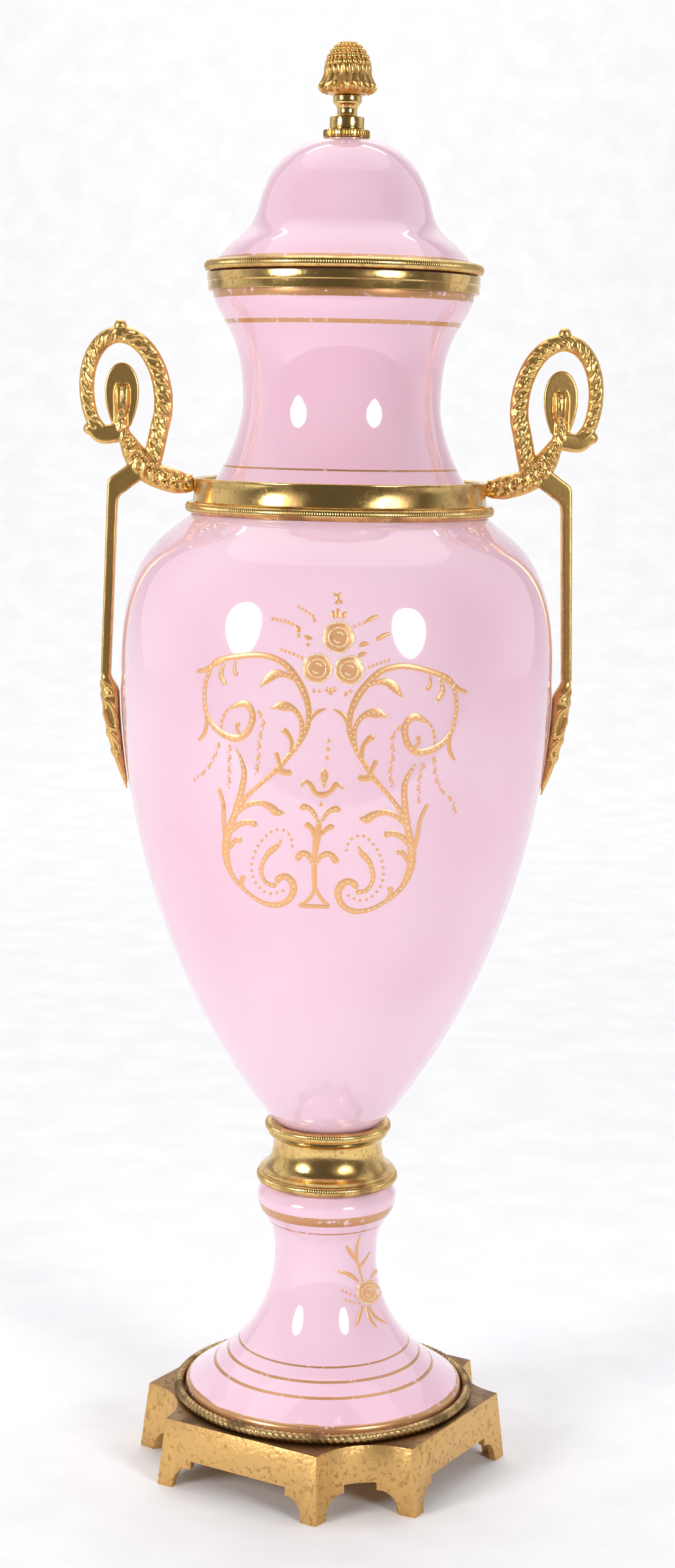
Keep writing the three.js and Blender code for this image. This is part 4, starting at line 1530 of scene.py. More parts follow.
    def washer(self, shop: Workshop) -> None:
        """Builds and sets the milled washer."""
        z0, z1 = low("finial_washer"), high("finial_washer")
        outer = reach("finial_washer")
        core_profile = [(0.0, z0), (outer - 0.4, z0), (outer - 0.4, z1), (0.0, z1)]
        core = shop.dress(turned("washer_core", softened(core_profile, 0.25), 88), POLISHED_BRASS)
        half = 0.33 * 2 * math.pi * outer / self.washer_teeth
        root = outer - 0.6
        rings = []
        for z, cut in ((z0 + 0.05, 0.35), (z0 + 0.4, 0.0), (z1 - 0.4, 0.0), (z1 - 0.05, 0.35)):
            face = outer - cut
            rings.append([(root, -half, z), (face, -half / 2, z), (face, half / 2, z), (root, half, z)])
        tooth = lofted("washer tooth", rings, 60.0)
        teeth = shop.rings.make(tooth, self.washer_teeth, shop.finish(POLISHED_BRASS))
        finished(fused("milled_washer", [core, teeth]), Slot.POLISHED, "finial_washer")

    def build(self, shop: Workshop) -> None:
        """Builds the three pieces."""
        self.washer(shop)
        self.stem(shop)
        self.cone(shop)


# Handles


@dataclass
class Handle:
    """One cast handle, drawn on the +X side; the other is the same casting turned half round."""

    arm_rise: float = 10.4
    arm_thick: float = 8.3
    arm_depth: float = 8.4
    bud_width: float = 4.8
    ring_reach: float = 23.8
    ring_rise: float = 29.5
    ring_half_width: float = 13.1
    ring_half_height: float = 20.5
    ring_lean: float = 1.8
    ring_start: float = -35.0
    ring_turn: float = 249.0
    ring_bar: float = 4.7
    ring_bar_inner: float = 6.6
    ring_depth: float = 5.2
    ridge_pitch: float = 4.3
    knob: float = 2.1
    leaf_half_width: float = 5.9
    leaf_top: float = 11.1
    leaf_height: float = 22.0
    leaf_thickness: float = 2.4
    leaf_shift: float = 1.1
    strap_reach: float = 5.0
    strap_spread: float = 1.9
    strap_width: float = 3.5
    strap_depth: float = 6.0
    bracket_rise: float = 2.4
    bracket_height: float = 8.0
    bracket_slope: float = 0.75
    bracket_round: float = 2.4
    terminal_top: float = 4.0
    terminal_length: float = 40.0
    terminal_depth: float = 9.0
    tip_depth: float = 2.4
    lobe_shares: tuple[float, ...] = (0.08, 0.18, 0.33, 0.5, 0.66)
    pearl_count: int = 22
    voxel: float = 0.36
    body: Profile = field(default_factory=list)

    def __post_init__(self) -> None:
        """Works out the places that the drawing hangs on."""
        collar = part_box("shoulder_collar")
        self.joint_x = collar[1][0] / MM - Mounts.collar_inset + 0.3
        self.joint_z = collar[0][2] / MM + self.arm_rise
        self.ring_x = self.joint_x - 0.3 + self.ring_reach
        self.ring_z = self.joint_z + self.ring_rise
        self.belly = reach("vase_body")
        self.belly_z = low("vase_body") + Porcelain.belly_rise

    @staticmethod
    def carved(
        half: float, deep: float, run: float, angle: float, pitch: float, slant: float, wild: float = 0.0
    ) -> Point2:
        """Carves slanting leaves into the front and back of a bar whose sides stay plain.

        Args:
            half: Half the bar's width.
            deep: Half its depth.
            run: Distance along the bar.
            angle: Angle round the bar.
            pitch: Distance between leaves.
            slant: How much the leaves lean, in pitches.
            wild: How broken the leafwork is, from 0 to 1.

        Returns:
            How far the surface stands across the bar and along Y.
        """
        c, s = math.cos(angle), math.sin(angle)
        across = math.copysign(abs(c) ** 0.8, c)
        rough = noise.noise(Vector((run * 0.55, across * 1.6, 3.0 if s > 0 else 7.0)))
        fine = noise.noise(Vector((run * 1.3, across * 3.6, 1.0 if s > 0 else 5.0)))
        phase = run / pitch + slant * across / 2 + 0.35 * (rough + wild * fine)
        leaf = 0.5 + 0.5 * math.cos(2 * math.pi * phase)
        vein = 0.5 + 0.5 * math.cos(6 * math.pi * phase + 1.1)
        field_share = min(max((0.86 - abs(across)) / 0.2, 0.0), 1.0)
        lift = 0.68 * leaf**0.8 + 0.32 * vein * leaf + 0.3 * wild * fine
        size = deep * (0.74 + field_share * (0.34 * lift - 0.06))
        return (half * across, size * math.copysign(abs(s) ** 0.6, s))

    def ring(self) -> bpy.types.Object:
        """The ring's bar, from the lower knob over the top and down into the arm."""
        points = []
        for i in range(15):
            angle = math.radians(self.ring_start + self.ring_turn * i / 14)
            x = self.ring_x + self.ring_half_width * math.cos(angle) + self.ring_lean * math.sin(angle)
            points.append((x, 0.0, self.ring_z + self.ring_half_height * math.sin(angle)))
        for across, down in ((0.76, 1.0), (0.64, 1.22)):
            x = self.ring_x - across * self.ring_half_width
            points.append((x, 0.0, self.ring_z - down * self.ring_half_height))

        def section(t: float, run: float, angle: float) -> Point2:
            width = self.ring_bar + (self.ring_bar_inner - self.ring_bar) * math.sin(math.pi * t / 2)
            return self.carved(width / 2, self.ring_depth / 2, run, angle, self.ridge_pitch, 1.7)

        return swept("ring bar", even_path(points, 0.45), 30, section)

    def arm(self) -> bpy.types.Object:
        """The arm, from the collar out and up round the curl to the bud on the leaf."""
        shares = (
            (-0.011, 0), (0.14, -0.01), (0.47, 0.055), (0.69, 0.15), (0.84, 0.31),
            (0.94, 0.455), (1.03, 0.6), (1.045, 0.84), (1.04, 1.1),
        )
        points = []
        for x, z in shares:
            points.append((self.joint_x + x * self.ring_reach, 0.0, self.joint_z + z * self.ring_rise))

        def section(t: float, run: float, angle: float) -> Point2:
            joint = 0.66 + 0.34 * min(max(t / 0.12, 0.0), 1.0)
            thin = min(max((t - 0.46) / 0.22, 0.0), 1.0)
            thin = thin * thin * (3 - 2 * thin)
            width = self.arm_thick + (self.bud_width - self.arm_thick) * thin
            depth = self.arm_depth + (5.4 - self.arm_depth) * thin
            return self.carved(width / 2 * joint, depth / 2 * joint, run + 40, angle, 3.4, -1.3, 1.0)

        return swept("arm bar", even_path(points, 0.4), 32, section)

    def pearls(self) -> list[bpy.types.Object]:
        """Small pearls strewn along the arm's leafwork, front and back."""
        made = []
        for i in range(self.pearl_count):
            t = i / (self.pearl_count - 1)
            x = self.joint_x + self.ring_reach * (0.24 + 0.72 * t)
            z = self.joint_z + self.ring_rise * (0.02 + 0.5 * t**1.9)
            aside = 1.9 * math.sin(i * 2.4)
            for side in (-1, 1):
                y = side * (self.arm_depth / 2 - 0.35 - 0.25 * abs(aside)) * (1 - 0.18 * t)
                made.append(blob("pearl", (x - 0.5 * aside, y, z + 0.8 * aside), (0.62, 0.5, 0.62), fine=8))
        return made

    def spoon_leaf(self) -> list[bpy.types.Object]:
        """The flat spoon leaf inside the ring, with its raised bud."""
        x = self.ring_x + self.leaf_shift
        top = self.ring_z + self.leaf_top
        bottom = top - self.leaf_height
        widest = top - 0.44 * self.leaf_height
        right = []
        for i in range(13):
            angle = math.pi / 2 * i / 12
            half = self.leaf_half_width * math.cos(angle)
            right.append((x + half, widest + (top - widest) * math.sin(angle)))
        taper = []
        for i in range(8):
            t = i / 8
            a, b, c = self.leaf_half_width / 2, self.leaf_half_width, self.leaf_half_width
            half = (1 - t) ** 2 * a + 2 * t * (1 - t) * b + t * t * c
            z = (1 - t) ** 2 * bottom + 2 * t * (1 - t) * (widest - 0.27 * self.leaf_height) + t * t * widest
            taper.append((x + half, z))
        half_outline = taper + right
        outline = half_outline + [(2 * x - px, pz) for px, pz in reversed(half_outline[:-1])]
        parts = [plate("leaf plate", outline, self.leaf_thickness, 0.5)]
        for side in (-1, 1):
            for shift in (-1.15, 1.15):
                centre = (x + shift - 0.1, side * 1.9, self.ring_z - 1.6)
                parts.append(blob("bud lobe", centre, (1.25, 1.5, 5.4), 2.0 * shift, 14))
            parts.append(blob("bud vein", (x - 0.1, side * 2.1, self.ring_z - 1.0), (0.5, 1.5, 4.6), 0.0, 10))
        return parts

    def curl(self, knob_x: float, knob_z: float) -> bpy.types.Object:
        """The plain end of the ring's scroll, curling in from the lower knob to the arm."""
        points = [
            (knob_x - 1.4, 0.0, knob_z + 1.6),
            (self.ring_x + 0.62 * self.ring_half_width, 0.0, knob_z - 1.6),
            (self.ring_x + 0.3 * self.ring_half_width, 0.0, knob_z - 1.5),
            (self.ring_x + 0.05 * self.ring_half_width, 0.0, knob_z - 0.8),
        ]

        def section(t: float, run: float, angle: float) -> Point2:
            half = 3.1 + 0.2 * math.sin(math.pi * t)
            c, s = math.cos(angle), math.sin(angle)
            return (half * math.copysign(abs(c) ** 0.55, c), 2.1 * math.copysign(abs(s) ** 0.55, s))

        return swept("curl end", even_path(points, 0.5), 24, section)

    def strap(self) -> bpy.types.Object:
        """The bracket and strap that run down from behind the arm to the belly."""
        outer = self.belly + self.strap_reach
        outer_low = outer + self.strap_spread
        inner = outer - self.strap_width
        low_z = self.belly_z - self.terminal_top
        over = self.joint_z + self.bracket_rise
        under = over - self.bracket_height
        corner = outer - self.bracket_round
        start_over = self.ring_x - 0.23 * self.ring_half_width
        start_under = self.ring_x - 0.53 * self.ring_half_width
        outline = [(start_over, over + self.bracket_slope * (corner - start_over)), (corner, over)]
        for i in range(1, 6):
            t = i / 5
            x = (1 - t) ** 2 * corner + 2 * t * (1 - t) * outer + t * t * outer
            z = (1 - t) ** 2 * over + 2 * t * (1 - t) * (over - self.bracket_round / 2)
            outline.append((x, z + t * t * (over - 1.6 * self.bracket_round)))
        outline += [(outer_low, low_z), (outer_low - self.strap_width, low_z)]
        outline.append((inner, under - self.bracket_round))
        outline += [(inner - 0.3, under - 0.4), (inner - self.bracket_round / 2, under + 0.9)]
        outline.append((start_under, under + self.bracket_slope * (inner - start_under)))
        return plate("strap plate", outline, self.strap_depth, 0.7)

    def terminal(self) -> list[bpy.types.Object]:
        """The pointed leaf at the strap's foot, with scrolls raised on both its faces."""
        top = self.belly_z - self.terminal_top
        outer = self.belly + self.strap_reach + self.strap_spread
        steps = 44
        rows = []
        for i in range(-5, steps + 1):
            t = i / steps
            z = top - t * self.terminal_length
            against = radius_at(self.body, z) + 0.6
            inner = outer - self.strap_width
            if t > 0.15:
                inner = against
            elif t > -0.02:
                share = (t + 0.02) / 0.17
                inner += (against - inner) * share * share * (3 - 2 * share)
            tip = max((t - 0.12) / 0.88, 0.0)
            a = (1 - tip) ** 2 * outer + 2 * tip * (1 - tip) * (outer - 0.9)
            edge = a + tip * tip * (radius_at(self.body, top - self.terminal_length) + 1.4)
            depth = self.strap_depth + (self.terminal_depth - self.strap_depth) * min(max(t / 0.12, 0.0), 1.0)
            depth += (self.tip_depth - depth) * tip * tip
            rows.append((z, min(inner + 0.8 * max(t - 0.93, 0) / 0.07, edge - 0.4), edge, depth))
        sides = 20
        rings = []
        for z, inner, edge, depth in rows:
            half, middle = (edge - inner) / 2, (edge + inner) / 2
            ring = []
            for k in range(sides):
                angle = 2 * math.pi * k / sides
                c, s = math.cos(angle), math.sin(angle)
                x = middle + half * math.copysign(abs(c) ** (0.45 if c < 0 else 0.75), c)
                ring.append((x, depth / 2 * math.copysign(abs(s) ** 0.75, s), z))
            rings.append(ring)
        parts = [lofted("terminal leaf", rings)]

        def share_point(share: float, across: float) -> tuple[float, float]:
            row = rows[min(max(round(share * steps) + 5, 0), len(rows) - 1)]
            return (row[1] + (row[2] - row[1]) * across, row[0])

        scrolls = (
            ((0.04, 0.9), (0.1, 0.55), (0.13, 0.3), (0.17, 0.35), (0.16, 0.62)),
            ((0.2, 0.85), (0.26, 0.45), (0.36, 0.22), (0.45, 0.25), (0.46, 0.55), (0.4, 0.8), (0.3, 0.88)),
            ((0.5, 0.7), (0.56, 0.35), (0.63, 0.25), (0.66, 0.5), (0.62, 0.7)),
            ((0.7, 0.6), (0.78, 0.5), (0.86, 0.5)),
        )

        def line_section(t: float, run: float, angle: float) -> Point2:
            fade = 1 - 0.35 * abs(2 * t - 1)
            return (0.75 * fade * math.cos(angle), 0.8 * math.sin(angle))

        for scroll in scrolls:
            places = [share_point(*place) for place in scroll]
            for side in (-1, 1):
                path = even_path([(x, 0.0, z) for x, z in places], 0.4)
                line = swept("scroll line", path, 10, line_section)
                for vertex in line.data.vertices:
                    down = (top - vertex.co.z / MM) / self.terminal_length
                    row = rows[min(max(round(down * steps) + 5, 0), len(rows) - 1)]
                    vertex.co.y += side * (row[3] / 2 - 0.25) * MM
                parts.append(line)
        for share in self.lobe_shares:
            x, z = share_point(share, 0.98)
            parts.append(blob("edge lobe", (x - 0.6, 0, z), (1.1, self.terminal_depth * 0.36, 2.3), 6.0, 14))
        return parts

    def casting(self, shop: Workshop) -> bpy.types.Object:
        """Makes the whole casting as one fused skin."""
        start = math.radians(self.ring_start)
        knob_x = self.ring_x + self.ring_half_width * math.cos(start) + 0.75 * self.knob
        knob_z = self.ring_z + self.ring_half_height * math.sin(start)
        top_x = self.ring_x + self.ring_lean
        top_z = self.ring_z + self.ring_half_height + (self.ring_bar + self.knob) / 2
        parts = [self.ring(), self.arm(), self.curl(knob_x, knob_z), self.strap()]
        parts += [*self.spoon_leaf(), *self.terminal(), *self.pearls()]
        knob = (self.knob * 1.05, self.knob, self.knob)
        parts.append(blob("top knob", (top_x, 0, top_z - 0.35), knob, fine=20))
        for side in (-1, 1):
            shoulder = (top_x + 2.9 * side, 0, top_z - 2.6)
            parts.append(blob("peak", shoulder, (2.9, self.ring_depth * 0.42, 1.25), 24.0 * side, 20))
        parts.append(blob("low knob", (knob_x, 0, knob_z), (self.knob,) * 3, fine=20))
        skin = fused("handle_right_casting", parts)
        remesh = skin.modifiers.new("skin", "REMESH")
        remesh.mode = "VOXEL"
        remesh.voxel_size = self.voxel * MM
        applied(skin)
        skin.data.shade_smooth()
        return shop.dress(skin, CAST_GILT)

    def build(self, shop: Workshop) -> None:
        """Builds and sets both handles."""
        right = self.casting(shop)
        left = turned_copy(right, "handle_left_casting", 180.0)
        finished(right, Slot.CAST, "handle_right")
        finished(left, Slot.CAST, "handle_left")


# Camera


@dataclass
class PhotoCamera:
    """The photograph's camera, found from the vase's own outline. Lengths are millimetres."""

    focal: float = 4295.0
    distance: float = 911.0
    height: float = 379.9
    pitch: float = 8.34
    roll: float = 1.1
    yaw: float = 1.0
    aside: float = 1.1
    search_near: float = 160.0
    search_far: float = 180.0
    search_steps: int = 170
    search_halvings: int = 18

    def placement(self) -> Matrix:
        """Gives the camera's place and turn, in millimetres."""
        spin = Matrix.Rotation(math.radians(self.yaw), 4, "Z")
        stand = Matrix.Translation((self.aside, -self.distance, self.height))
        look = Matrix.Rotation(math.radians(90 - self.pitch), 4, "X")
        tilt = Matrix.Rotation(math.radians(self.roll), 4, "Z")
        return spin.inverted() @ stand @ look @ tilt

    def ray(self, x: float, y: float) -> tuple[Vector, Vector]:
        """Gives the line of sight through a place in the photograph.

        Args:
            x: Pixel across.
            y: Pixel down.

        Returns:
            The eye and the direction.
        """
        place = self.placement()
        ahead = Vector(((x - PHOTO_WIDTH / 2) / self.focal, -(y - PHOTO_HEIGHT / 2) / self.focal, -1.0))
        return place.translation, (place.to_3x3() @ ahead).normalized()

    def on_turned(self, outline: Profile, x: float, y: float) -> Vector | None:
        """Finds where a line of sight meets a turned piece.

        Args:
            outline: The piece's outline, from the bottom up.
            x: Pixel across.
            y: Pixel down.

        Returns:
            The place, or None where the line misses.
        """
        eye, way = self.ray(x, y)
        near, far = self.distance - self.search_near, self.distance + self.search_far
        last = near
        for i in range(1, self.search_steps + 1):
            run = near + (far - near) * i / self.search_steps
            point = eye + way * run
            if math.hypot(point.x, point.y) < radius_at(outline, point.z):
                for _ in range(self.search_halvings):
                    middle = (last + run) / 2
                    point = eye + way * middle
                    if math.hypot(point.x, point.y) < radius_at(outline, point.z):
                        run = middle
                    else:
                        last = middle
                return eye + way * run
            last = run
        return None

    def build(self) -> None:
        """Makes the camera."""
        data = bpy.data.cameras.new("photo camera")
        data.sensor_width = 36.0
        data.lens = self.focal * data.sensor_width / PHOTO_HEIGHT
        data.clip_start, data.clip_end = 0.01, 20.0
        camera = linked("photo camera", data)
        place = self.placement()
        place.translation *= MM
        camera.matrix_world = place
        bpy.context.scene.camera = camera
        LOG.info("camera: lens %.1f mm", data.lens)


# Gilding

Pixel = tuple[float, float]
BrushMark = tuple[float, float, float]


@dataclass(frozen=True)
class Stroke:
    """A brush stroke: places in the photograph with the brush's width at each, and its pearls' spacing."""

    marks: tuple[BrushMark, ...]
    pearls: float = 0.0


@dataclass(frozen=True)
class Dots:
    """A row of gilt dots between places in the photograph."""

    places: tuple[Pixel, ...]
    spacing: float = 8.0
    size: float = 2.8


MAIN_SCROLL = Stroke(
    (
        (346, 1094, 7), (359, 1085, 10), (386, 1079, 10), (418, 1076, 10), (443, 1079, 10), (468, 1091, 11),
        (486, 1113, 13), (500, 1139, 13), (507, 1167, 11), (504, 1196, 10), (489, 1224, 9), (471, 1246, 9),
        (457, 1262, 10), (436, 1281, 8), (411, 1303, 8), (393, 1324, 10), (380, 1353, 14), (372, 1381, 16),
        (372, 1410, 15), (382, 1439, 10), (404, 1464, 8), (428, 1481, 9), (450, 1487, 11), (471, 1481, 11),
        (482, 1464, 13), (479, 1448, 14), (468, 1440, 13), (458, 1443, 12), (454, 1451, 10),
    ),
    10.5,
)
FLAG = Stroke(((323, 1103, 9), (335, 1101, 8), (352, 1092, 9), (368, 1085, 8)))
CREST_LEAF = Stroke(((371, 1088, 3), (364, 1101, 8), (364, 1113, 10), (371, 1126, 8)), 8.0)
CREST_BUD = Stroke(((388, 1084, 3), (385, 1098, 6), (389, 1111, 9)))
OUTER_CURL = Stroke(
    (
        (347, 1097, 7), (338, 1121, 8), (336, 1146, 8), (339, 1171, 9), (350, 1192, 10), (368, 1207, 12),
        (389, 1213, 12), (406, 1203, 12), (415, 1181, 12), (411, 1163, 12), (400, 1156, 13), (388, 1159, 9),
        (378, 1163, 5), (369, 1174, 5), (364, 1188, 5), (363, 1199, 2),
    ),
    10.0,
)
CURL_HEART = Stroke(((396, 1208, 5), (389, 1197, 6), (393, 1186, 10)))
OUTER_SPUR = Stroke(((339, 1172, 6), (339, 1194, 8), (334, 1208, 8), (325, 1217, 4)))
INNER_SPUR = Stroke(((507, 1186, 9), (514, 1176, 8), (523, 1169, 7), (537, 1164, 2)))
HIGH_LEAF = Stroke(
    ((501, 1142, 3), (490, 1121, 8), (472, 1110, 9), (455, 1107, 14), (442, 1114, 15), (427, 1128, 3)), 8.0
)
MIDDLE_LEAF = Stroke(
    ((487, 1228, 6), (496, 1203, 9), (494, 1181, 9), (482, 1165, 11), (464, 1160, 17), (445, 1163, 2)), 8.0
)
SMALL_LEAF = Stroke(((477, 1240, 6), (479, 1219, 8), (471, 1204, 10), (462, 1199, 13)))
LOW_BUD = Stroke(((462, 1262, 10), (457, 1248, 8), (453, 1236, 10)))
SIDE_BUD = Stroke(((455, 1264, 12), (468, 1269, 12), (480, 1269, 12)))
TALL_LEAF = Stroke(((385, 1337, 12), (394, 1310, 12), (401, 1276, 11), (398, 1253, 8), (388, 1230, 2)), 9.0)
OUTER_LEAF = Stroke(((372, 1384, 10), (368, 1353, 9), (367, 1321, 8), (359, 1294, 8)))
HOOKED_LEAF = Stroke(
    ((384, 1340, 8), (404, 1324, 9), (425, 1319, 10), (443, 1325, 13), (454, 1334, 16), (467, 1335, 2)), 8.5
)
ROUND_LEAF = Stroke(((375, 1372, 6), (389, 1357, 10), (407, 1351, 10), (423, 1356, 13)), 8.5)
SHORT_LEAF = Stroke(((376, 1394, 8), (387, 1381, 9), (398, 1380, 12)))
BALL_BUD = Stroke(((401, 1462, 7), (397, 1449, 8), (401, 1438, 13)))
HEART_CURL = Stroke(
    (
        (455, 1456, 10), (437, 1450, 8), (429, 1430, 8), (437, 1407, 9), (450, 1394, 12), (455, 1390, 9),
        (463, 1379, 2),
    ),
    8.0,
)
MIRRORED_STROKES = (
    MAIN_SCROLL, FLAG, CREST_LEAF, CREST_BUD, OUTER_CURL, CURL_HEART, OUTER_SPUR, INNER_SPUR, HIGH_LEAF,
    MIDDLE_LEAF, SMALL_LEAF, LOW_BUD, SIDE_BUD, TALL_LEAF, OUTER_LEAF, HOOKED_LEAF, ROUND_LEAF, SHORT_LEAF,
    BALL_BUD, HEART_CURL,
)

DOTTED_ARC = Dots(
    ((480, 1390), (477, 1374), (463, 1363), (447, 1366), (430, 1381), (419, 1400), (413, 1424), (417, 1444),
     (429, 1461), (446, 1468), (465, 1463)), 10.5, 3.0,
)
LEFT_GARLANDS = (
    ((359, 1222), (355, 1237), (346, 1256), (332, 1271), (320, 1281)),
    ((377, 1226), (377, 1264), (375, 1294)),
    ((425, 1170), (433, 1189), (426, 1217), (425, 1246), (421, 1272)),
)
RIGHT_GARLANDS = (
    ((657, 1194), (645, 1210), (645, 1239), (641, 1271), (644, 1292)),
    ((695, 1256), (689, 1281), (687, 1317)),
    ((712, 1246), (716, 1274), (725, 1299), (743, 1316), (748, 1338)),
)

PALMETTE = (
    Stroke(((517, 1456, 5), (513, 1469, 7), (504, 1480, 7), (491, 1487, 7))),
    Stroke(((518, 1456, 5), (523, 1469, 7), (531, 1480, 7), (541, 1488, 7))),
    Stroke(((490, 1488, 7), (515, 1489, 8), (541, 1490, 7))),
    Stroke(((517, 1460, 9), (516, 1421, 10), (518, 1396, 11), (522, 1367, 14), (525, 1347, 5))),
    Stroke(((514, 1419, 6), (505, 1404, 11), (494, 1403, 12), (487, 1414, 11)), 8.0),
    Stroke(((519, 1418, 6), (530, 1405, 10), (543, 1404, 11), (554, 1418, 14)), 8.0),
    Stroke(((518, 1376, 10), (511, 1360, 10), (500, 1353, 13))),
    Stroke(((528, 1371, 8), (536, 1362, 9), (548, 1356, 13))),
    Stroke(((523, 1352, 4), (515, 1335, 9), (504, 1326, 10), (492, 1327, 14)), 8.0),
    Stroke(((528, 1350, 5), (538, 1335, 9), (550, 1329, 11), (560, 1331, 13)), 8.0),
)
CROWN = (
    Stroke(((495, 1293, 3), (501, 1284, 6), (511, 1290, 10), (518, 1302, 9), (530, 1306, 11), (543, 1300, 9),
            (552, 1289, 10), (565, 1296, 3))),
    Stroke(((534, 1261, 2), (533, 1274, 14), (532, 1295, 2)), 8.0),
)
TOP_BUD = (
    Stroke(((547, 975, 6), (554, 978, 5), (560, 974, 6))),
    Stroke(((554, 976, 5), (556, 988, 6), (550, 990, 8))),
    Stroke(((556, 987, 6), (563, 990, 9))),
    Stroke(((551, 1017, 3), (548, 1010, 8), (546, 1003, 4))),
    Stroke(((556, 1016, 4), (555, 1007, 9), (555, 999, 4))),
    Stroke(((561, 1017, 3), (565, 1010, 8), (569, 1005, 4))),
)
LEAFLETS = (
    Stroke(((499, 1044, 3), (506, 1048, 8), (513, 1049, 4))),
    Stroke(((503, 1058, 5), (509, 1061, 8))),
    Stroke(((589, 1062, 4), (598, 1058, 9), (607, 1057, 3))),
    Stroke(((586, 1080, 4), (594, 1075, 8), (603, 1073, 3))),
    Stroke(((515, 1131, 4), (516, 1138, 7))),
    Stroke(((524, 1132, 4), (525, 1139, 7))),
    Stroke(((537, 1128, 4), (537, 1137, 8))),
    Stroke(((543, 1130, 5), (543, 1142, 9))),
    Stroke(((549, 1128, 4), (550, 1137, 8))),
    Stroke(((569, 1136, 5), (567, 1144, 8))),
    Stroke(((574, 1133, 4), (578, 1138, 7))),
    Stroke(((484, 1026, 3), (490, 1034, 10), (492, 1040, 4))),
    Stroke(((514, 1014, 3), (518, 1022, 8))),
    Stroke(((600, 1022, 4), (611, 1016, 8), (622, 1011, 4))),
    Stroke(((617, 1052, 6), (629, 1045, 8), (641, 1040, 4))),
)
SPRAY_ROWS = (
    Dots(((491, 997), (504, 1005), (514, 1012)), 7.0),
    Dots(((448, 1017), (465, 1020), (480, 1025)), 7.0, 3.2),
    Dots(((490, 1044), (491, 1045)), 7.0, 3.2),
    Dots(((462, 1067), (478, 1073), (496, 1081)), 7.0, 3.0),
    Dots(((582, 1029), (590, 1026), (598, 1023)), 7.0),
    Dots(((606, 1096), (622, 1090), (638, 1085)), 7.0),
    Dots(((537, 1245), (539, 1231), (540, 1217)), 14.0, 4.0),
    Dots(((527, 1321), (527, 1322)), 9.0, 3.8),
)

ROSES = ((556.0, 1047.0, 27.0), (521.0, 1098.0, 25.5), (574.0, 1101.0, 25.0))
MOTIF_FOOT: Pixel = (517.0, 1488.0)
MOTIF_HEAD: Pixel = (556.0, 980.0)

SPRAY_STROKES = (
    Stroke(((640, 2150, 4), (630, 2115, 5), (620, 2080, 6), (618, 2055, 8), (624, 2032, 2))),
    Stroke(((637, 2150, 5), (650, 2168, 8), (668, 2178, 3))),
    Stroke(((634, 2150, 5), (640, 2170, 8), (652, 2186, 3))),
    Stroke(((628, 2148, 5), (622, 2168, 8), (616, 2184, 3))),
    Stroke(((622, 2110, 5), (606, 2098, 8), (586, 2092, 3))),
    Stroke(((619, 2078, 5), (608, 2062, 8), (600, 2050, 3))),
    Stroke(((620, 2088, 5), (632, 2074, 8), (640, 2060, 3))),
    Stroke(((640, 2104, 5), (650, 2092, 8), (660, 2094, 4))),
)
SPRAY_DOTS = (Dots(((594, 2124), (606, 2130), (622, 2136))), Dots(((600, 2140), (611, 2143), (622, 2145))))
SPRAY_ROSE = (638.0, 2127.0, 20.0)
SPRAY_SHIFT: Pixel = (-32.0, -4.0)
BACK_SHIFT: Pixel = (-75.0, -950.0)

# Each ring of a rose: share of its radius, petals, line width by radius, turn in radians
PETAL_RINGS = ((0.9, 5, 0.11, 0.2), (0.58, 3, 0.09, 0.9), (0.3, 2, 0.12, 2.0))


